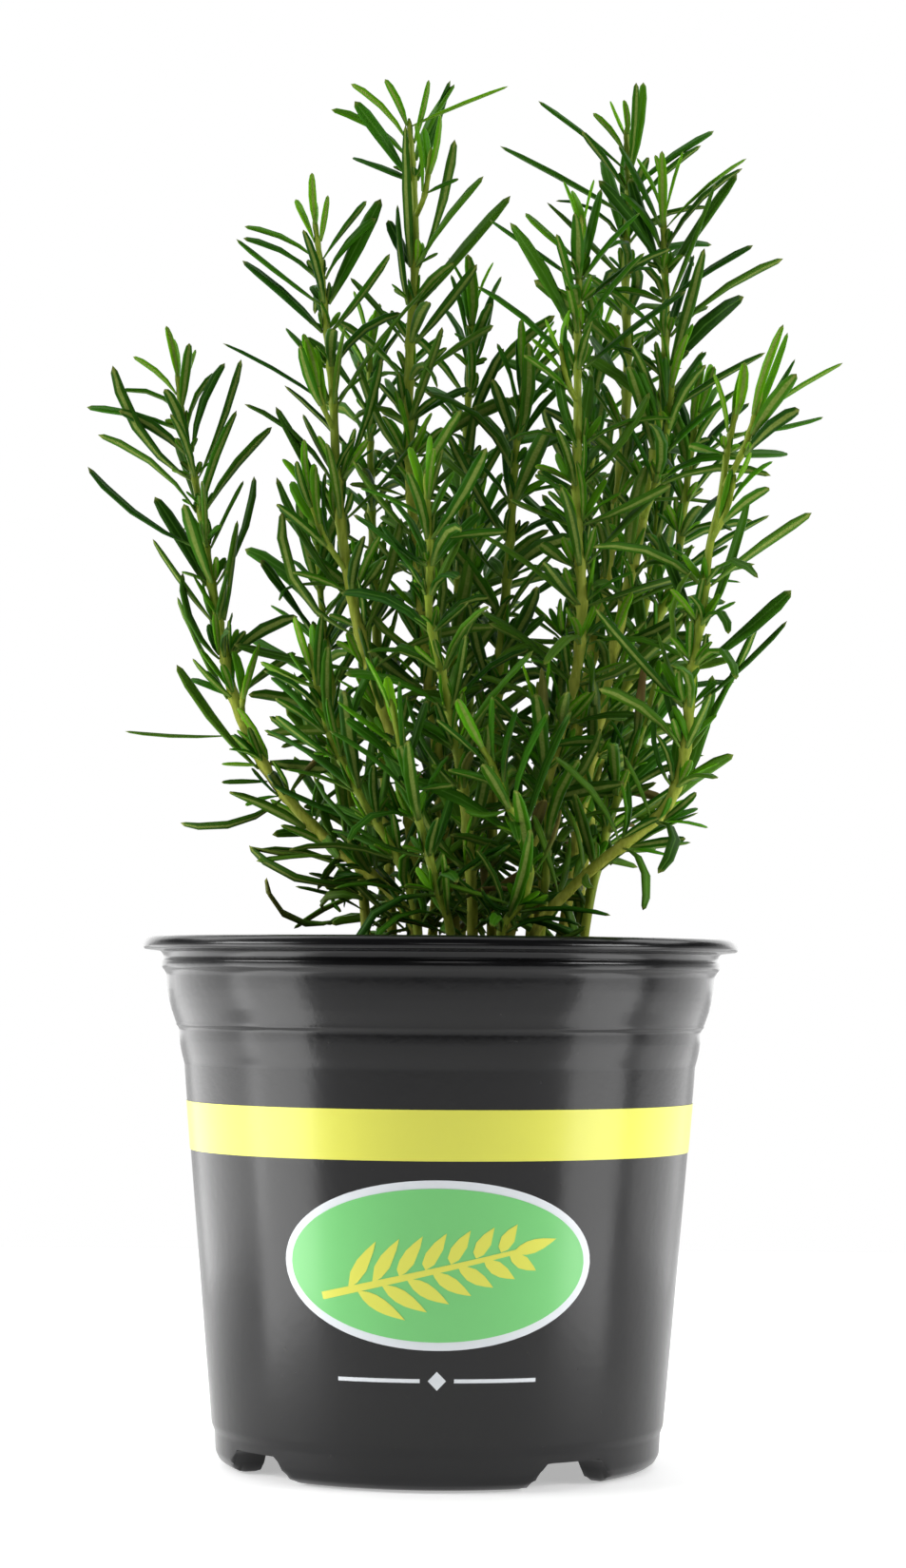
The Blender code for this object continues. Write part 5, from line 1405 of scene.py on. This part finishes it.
leaf_look, look, shader = new_material("rosemary_leaf", 0.4)
shader.inputs["Specular IOR Level"].default_value = 0.08
where = node(look, "ShaderNodeSeparateXYZ")
look.links.new(node(look, "ShaderNodeAttribute", attribute_name="blade").outputs["Vector"],
               where.inputs[0])
age = node(look, "ShaderNodeAttribute", attribute_name="age").outputs["Fac"]
tint = node(look, "ShaderNodeAttribute", attribute_name="tint").outputs["Fac"]
dry = node(look, "ShaderNodeAttribute", attribute_name="dry").outputs["Fac"]
from_middle = math_node(look, "ABSOLUTE", where.outputs[1])
below = remap(look, where.outputs[2], 0.0, -0.12)
felt = math_node(look, "MULTIPLY", below, remap(look, from_middle, 0.46, 0.20))
groove = math_node(look, "MULTIPLY", remap(look, from_middle, 0.16, 0.04),
                   remap(look, where.outputs[2], -0.02, 0.06))
mottle = place_group(look, patches, Place=object_place(look), Size=420.0, Contrast=0.2)
pores = place_group(look, patches, Place=object_place(look), Size=1700.0, Contrast=0.25)
fresh = mix_colours(look, tint, (0.080, 0.32, 0.002, 1.0), (0.21, 0.54, 0.006, 1.0))
mature = mix_colours(look, tint, (0.007, 0.058, 0.001, 1.0), (0.036, 0.175, 0.001, 1.0))
old = mix_colours(look, tint, (0.015, 0.064, 0.001, 1.0), (0.098, 0.218, 0.014, 1.0))
skin_colour = mix_colours(look, remap(look, age, 0.0, 0.42), fresh, mature)
skin_colour = mix_colours(look, remap(look, age, 0.45, 1.0), skin_colour, old)
foot_pale = mix_colours(look, math_node(look, "MULTIPLY", remap(look, where.outputs[0], 0.22, 0.0), 0.6),
                        skin_colour, (0.24, 0.40, 0.07, 1.0))
mottled = mix_colours(look, math_node(look, "MULTIPLY", mottle.outputs["Mask"], 0.30), foot_pale,
                      mix_colours(look, 0.5, foot_pale, (0.06, 0.20, 0.015, 1.0)))
grooved = mix_colours(look, math_node(look, "MULTIPLY", groove, 0.55), mottled,
                      (0.11, 0.28, 0.035, 1.0))
felt_colour = mix_colours(look, pores.outputs["Mask"], (0.18, 0.26, 0.042, 1.0), (0.29, 0.36, 0.085, 1.0))
felted = mix_colours(look, math_node(look, "MULTIPLY", felt, 0.8), grooved, felt_colour)
withered = mix_colours(look, math_node(look, "MULTIPLY", dry, remap(look, where.outputs[0], 0.1, 0.7)),
                       felted, (0.20, 0.13, 0.045, 1.0))
tipped = mix_colours(look, math_node(look, "MULTIPLY", remap(look, where.outputs[0], 0.93, 1.0), 0.5),
                     withered, (0.30, 0.30, 0.06, 1.0))
look.links.new(tipped, shader.inputs["Base Color"])
gloss = remap(look, mottle.outputs["Height"], 0.2, 0.8, 0.38, 0.54)
matt = node(look, "ShaderNodeMix", data_type="FLOAT")
feed(look, matt, i0=felt, i2=gloss, i3=0.92)
look.links.new(matt.outputs[0], shader.inputs["Roughness"])
bump(look, shader, pores.outputs["Height"], 0.00004, 0.25)


def stray_leaf(foot, heading, up, length, width, bend, dry):
    """An old leaf that has curled on its own; bend is in radians, and is minus when it curls up."""
    heading = np.array(heading) / np.linalg.norm(heading)
    up = np.array(up) - heading * np.dot(up, heading)
    return dict(base=np.array(foot), heading=heading, up=up / np.linalg.norm(up), length=length,
                width=width, bend=bend, age=0.9, dry=dry)


STRAY_LEAVES = {
    "shoot_far_left": [
        stray_leaf((-42.5, 9.0, 139.5), (-1.0, -0.1, -0.06), (0.0, -0.3, 1.0), 19.5, 1.5, -0.9, 0.0),
        stray_leaf((-34.0, 6.5, 130.5), (-1.0, -0.2, 0.02), (0.0, -0.6, 1.0), 9.0, 1.4, -0.3, 0.0),
        stray_leaf((-25.0, 4.0, 116.0), (-1.0, -0.1, 0.0), (0.0, 0.3, 1.0), 12.5, 1.4, 0.2, 0.3)],
    "shoot_left_low": [
        stray_leaf((-21.0, -3.0, 103.2), (-1.0, -0.2, -0.30), (0.0, -0.4, 1.0), 19.0, 3.0, -2.2, 0.4),
        stray_leaf((-15.0, -4.0, 107.5), (-0.8, -0.3, 0.35), (0.3, -0.8, 0.4), 14.0, 2.2, 1.9, 0.2)],
    "shoot_low_right": [
        stray_leaf((36.5, 2.0, 124.5), (1.0, -0.3, -0.12), (0.0, -1.0, 0.2), 9.5, 3.0, 0.3, 0.0),
        stray_leaf((24.0, 1.0, 112.5), (1.0, -0.3, -0.25), (0.2, -0.7, 0.6), 9.0, 2.4, 2.2, 0.4),
        stray_leaf((18.0, -2.0, 110.0), (0.9, -0.5, -0.45), (0.2, 0.3, 1.0), 12.0, 2.0, -0.5, 0.0),
        stray_leaf((13.0, -5.0, 103.5), (0.9, -0.4, 0.10), (0.0, -0.4, 1.0), 11.0, 3.0, 1.0, 0.0)],
}


def leaf_sites(name, leaves, rng):
    """One point for each leaf, with everything its blade needs to know; old leaves curl and twist most."""
    mesh = bpy.data.meshes.new(name)
    mesh.from_pydata([tuple(leaf["base"] * MM) for leaf in leaves], [], [])
    bends = [leaf["bend"] + rng.gauss(0.06, 0.05 + 0.55 * leaf["age"] ** 2) for leaf in leaves]
    bends = [bend if abs(bend) > 0.01 else 0.01 for bend in bends]
    for label, values in (
            ("foot", [leaf["base"] * MM for leaf in leaves]),
            ("heading", [leaf["heading"] for leaf in leaves]),
            ("up", [leaf["up"] for leaf in leaves])):
        made = mesh.attributes.new(label, "FLOAT_VECTOR", "POINT")
        made.data.foreach_set("vector", np.array(values, float).ravel())
    for label, values in (
            ("length", [leaf["length"] * MM for leaf in leaves]),
            ("bend", bends),
            ("half_width", [0.5 * leaf["width"] * MM for leaf in leaves]),
            ("twist", [rng.gauss(0.0, 0.35 + 0.6 * leaf["age"]) for leaf in leaves]),
            ("sweep", [rng.gauss(0.0, 0.11) for leaf in leaves]),
            ("age", [leaf["age"] for leaf in leaves]),
            ("tint", [rng.random() for leaf in leaves]),
            ("dry", [leaf.get("dry", 0.0) for leaf in leaves])):
        mesh.attributes.new(label, "FLOAT", "POINT").data.foreach_set("value", values)
    return mesh


for name, shoot, stems in shoots:
    leaves = [leaf for entry in stems for leaf in entry["all_leaves"]]
    leaves += STRAY_LEAVES.get(name, [])
    sites = leaf_sites(name + "_sites", leaves, random.Random(3000 + shoot["seed"]))
    piece = grow(name + "_leaves", sites, leaf_tree, Blade=blade_shape, Thickness=0.95,
                 Material=leaf_look)
    for label in ("foot", "heading", "up", "length", "bend", "half_width", "twist", "sweep"):
        piece.data.attributes.remove(piece.data.attributes[label])
    declare(piece, "rosemary_leaf", name)
bpy.data.objects.remove(blade_shape, do_unlink=True)
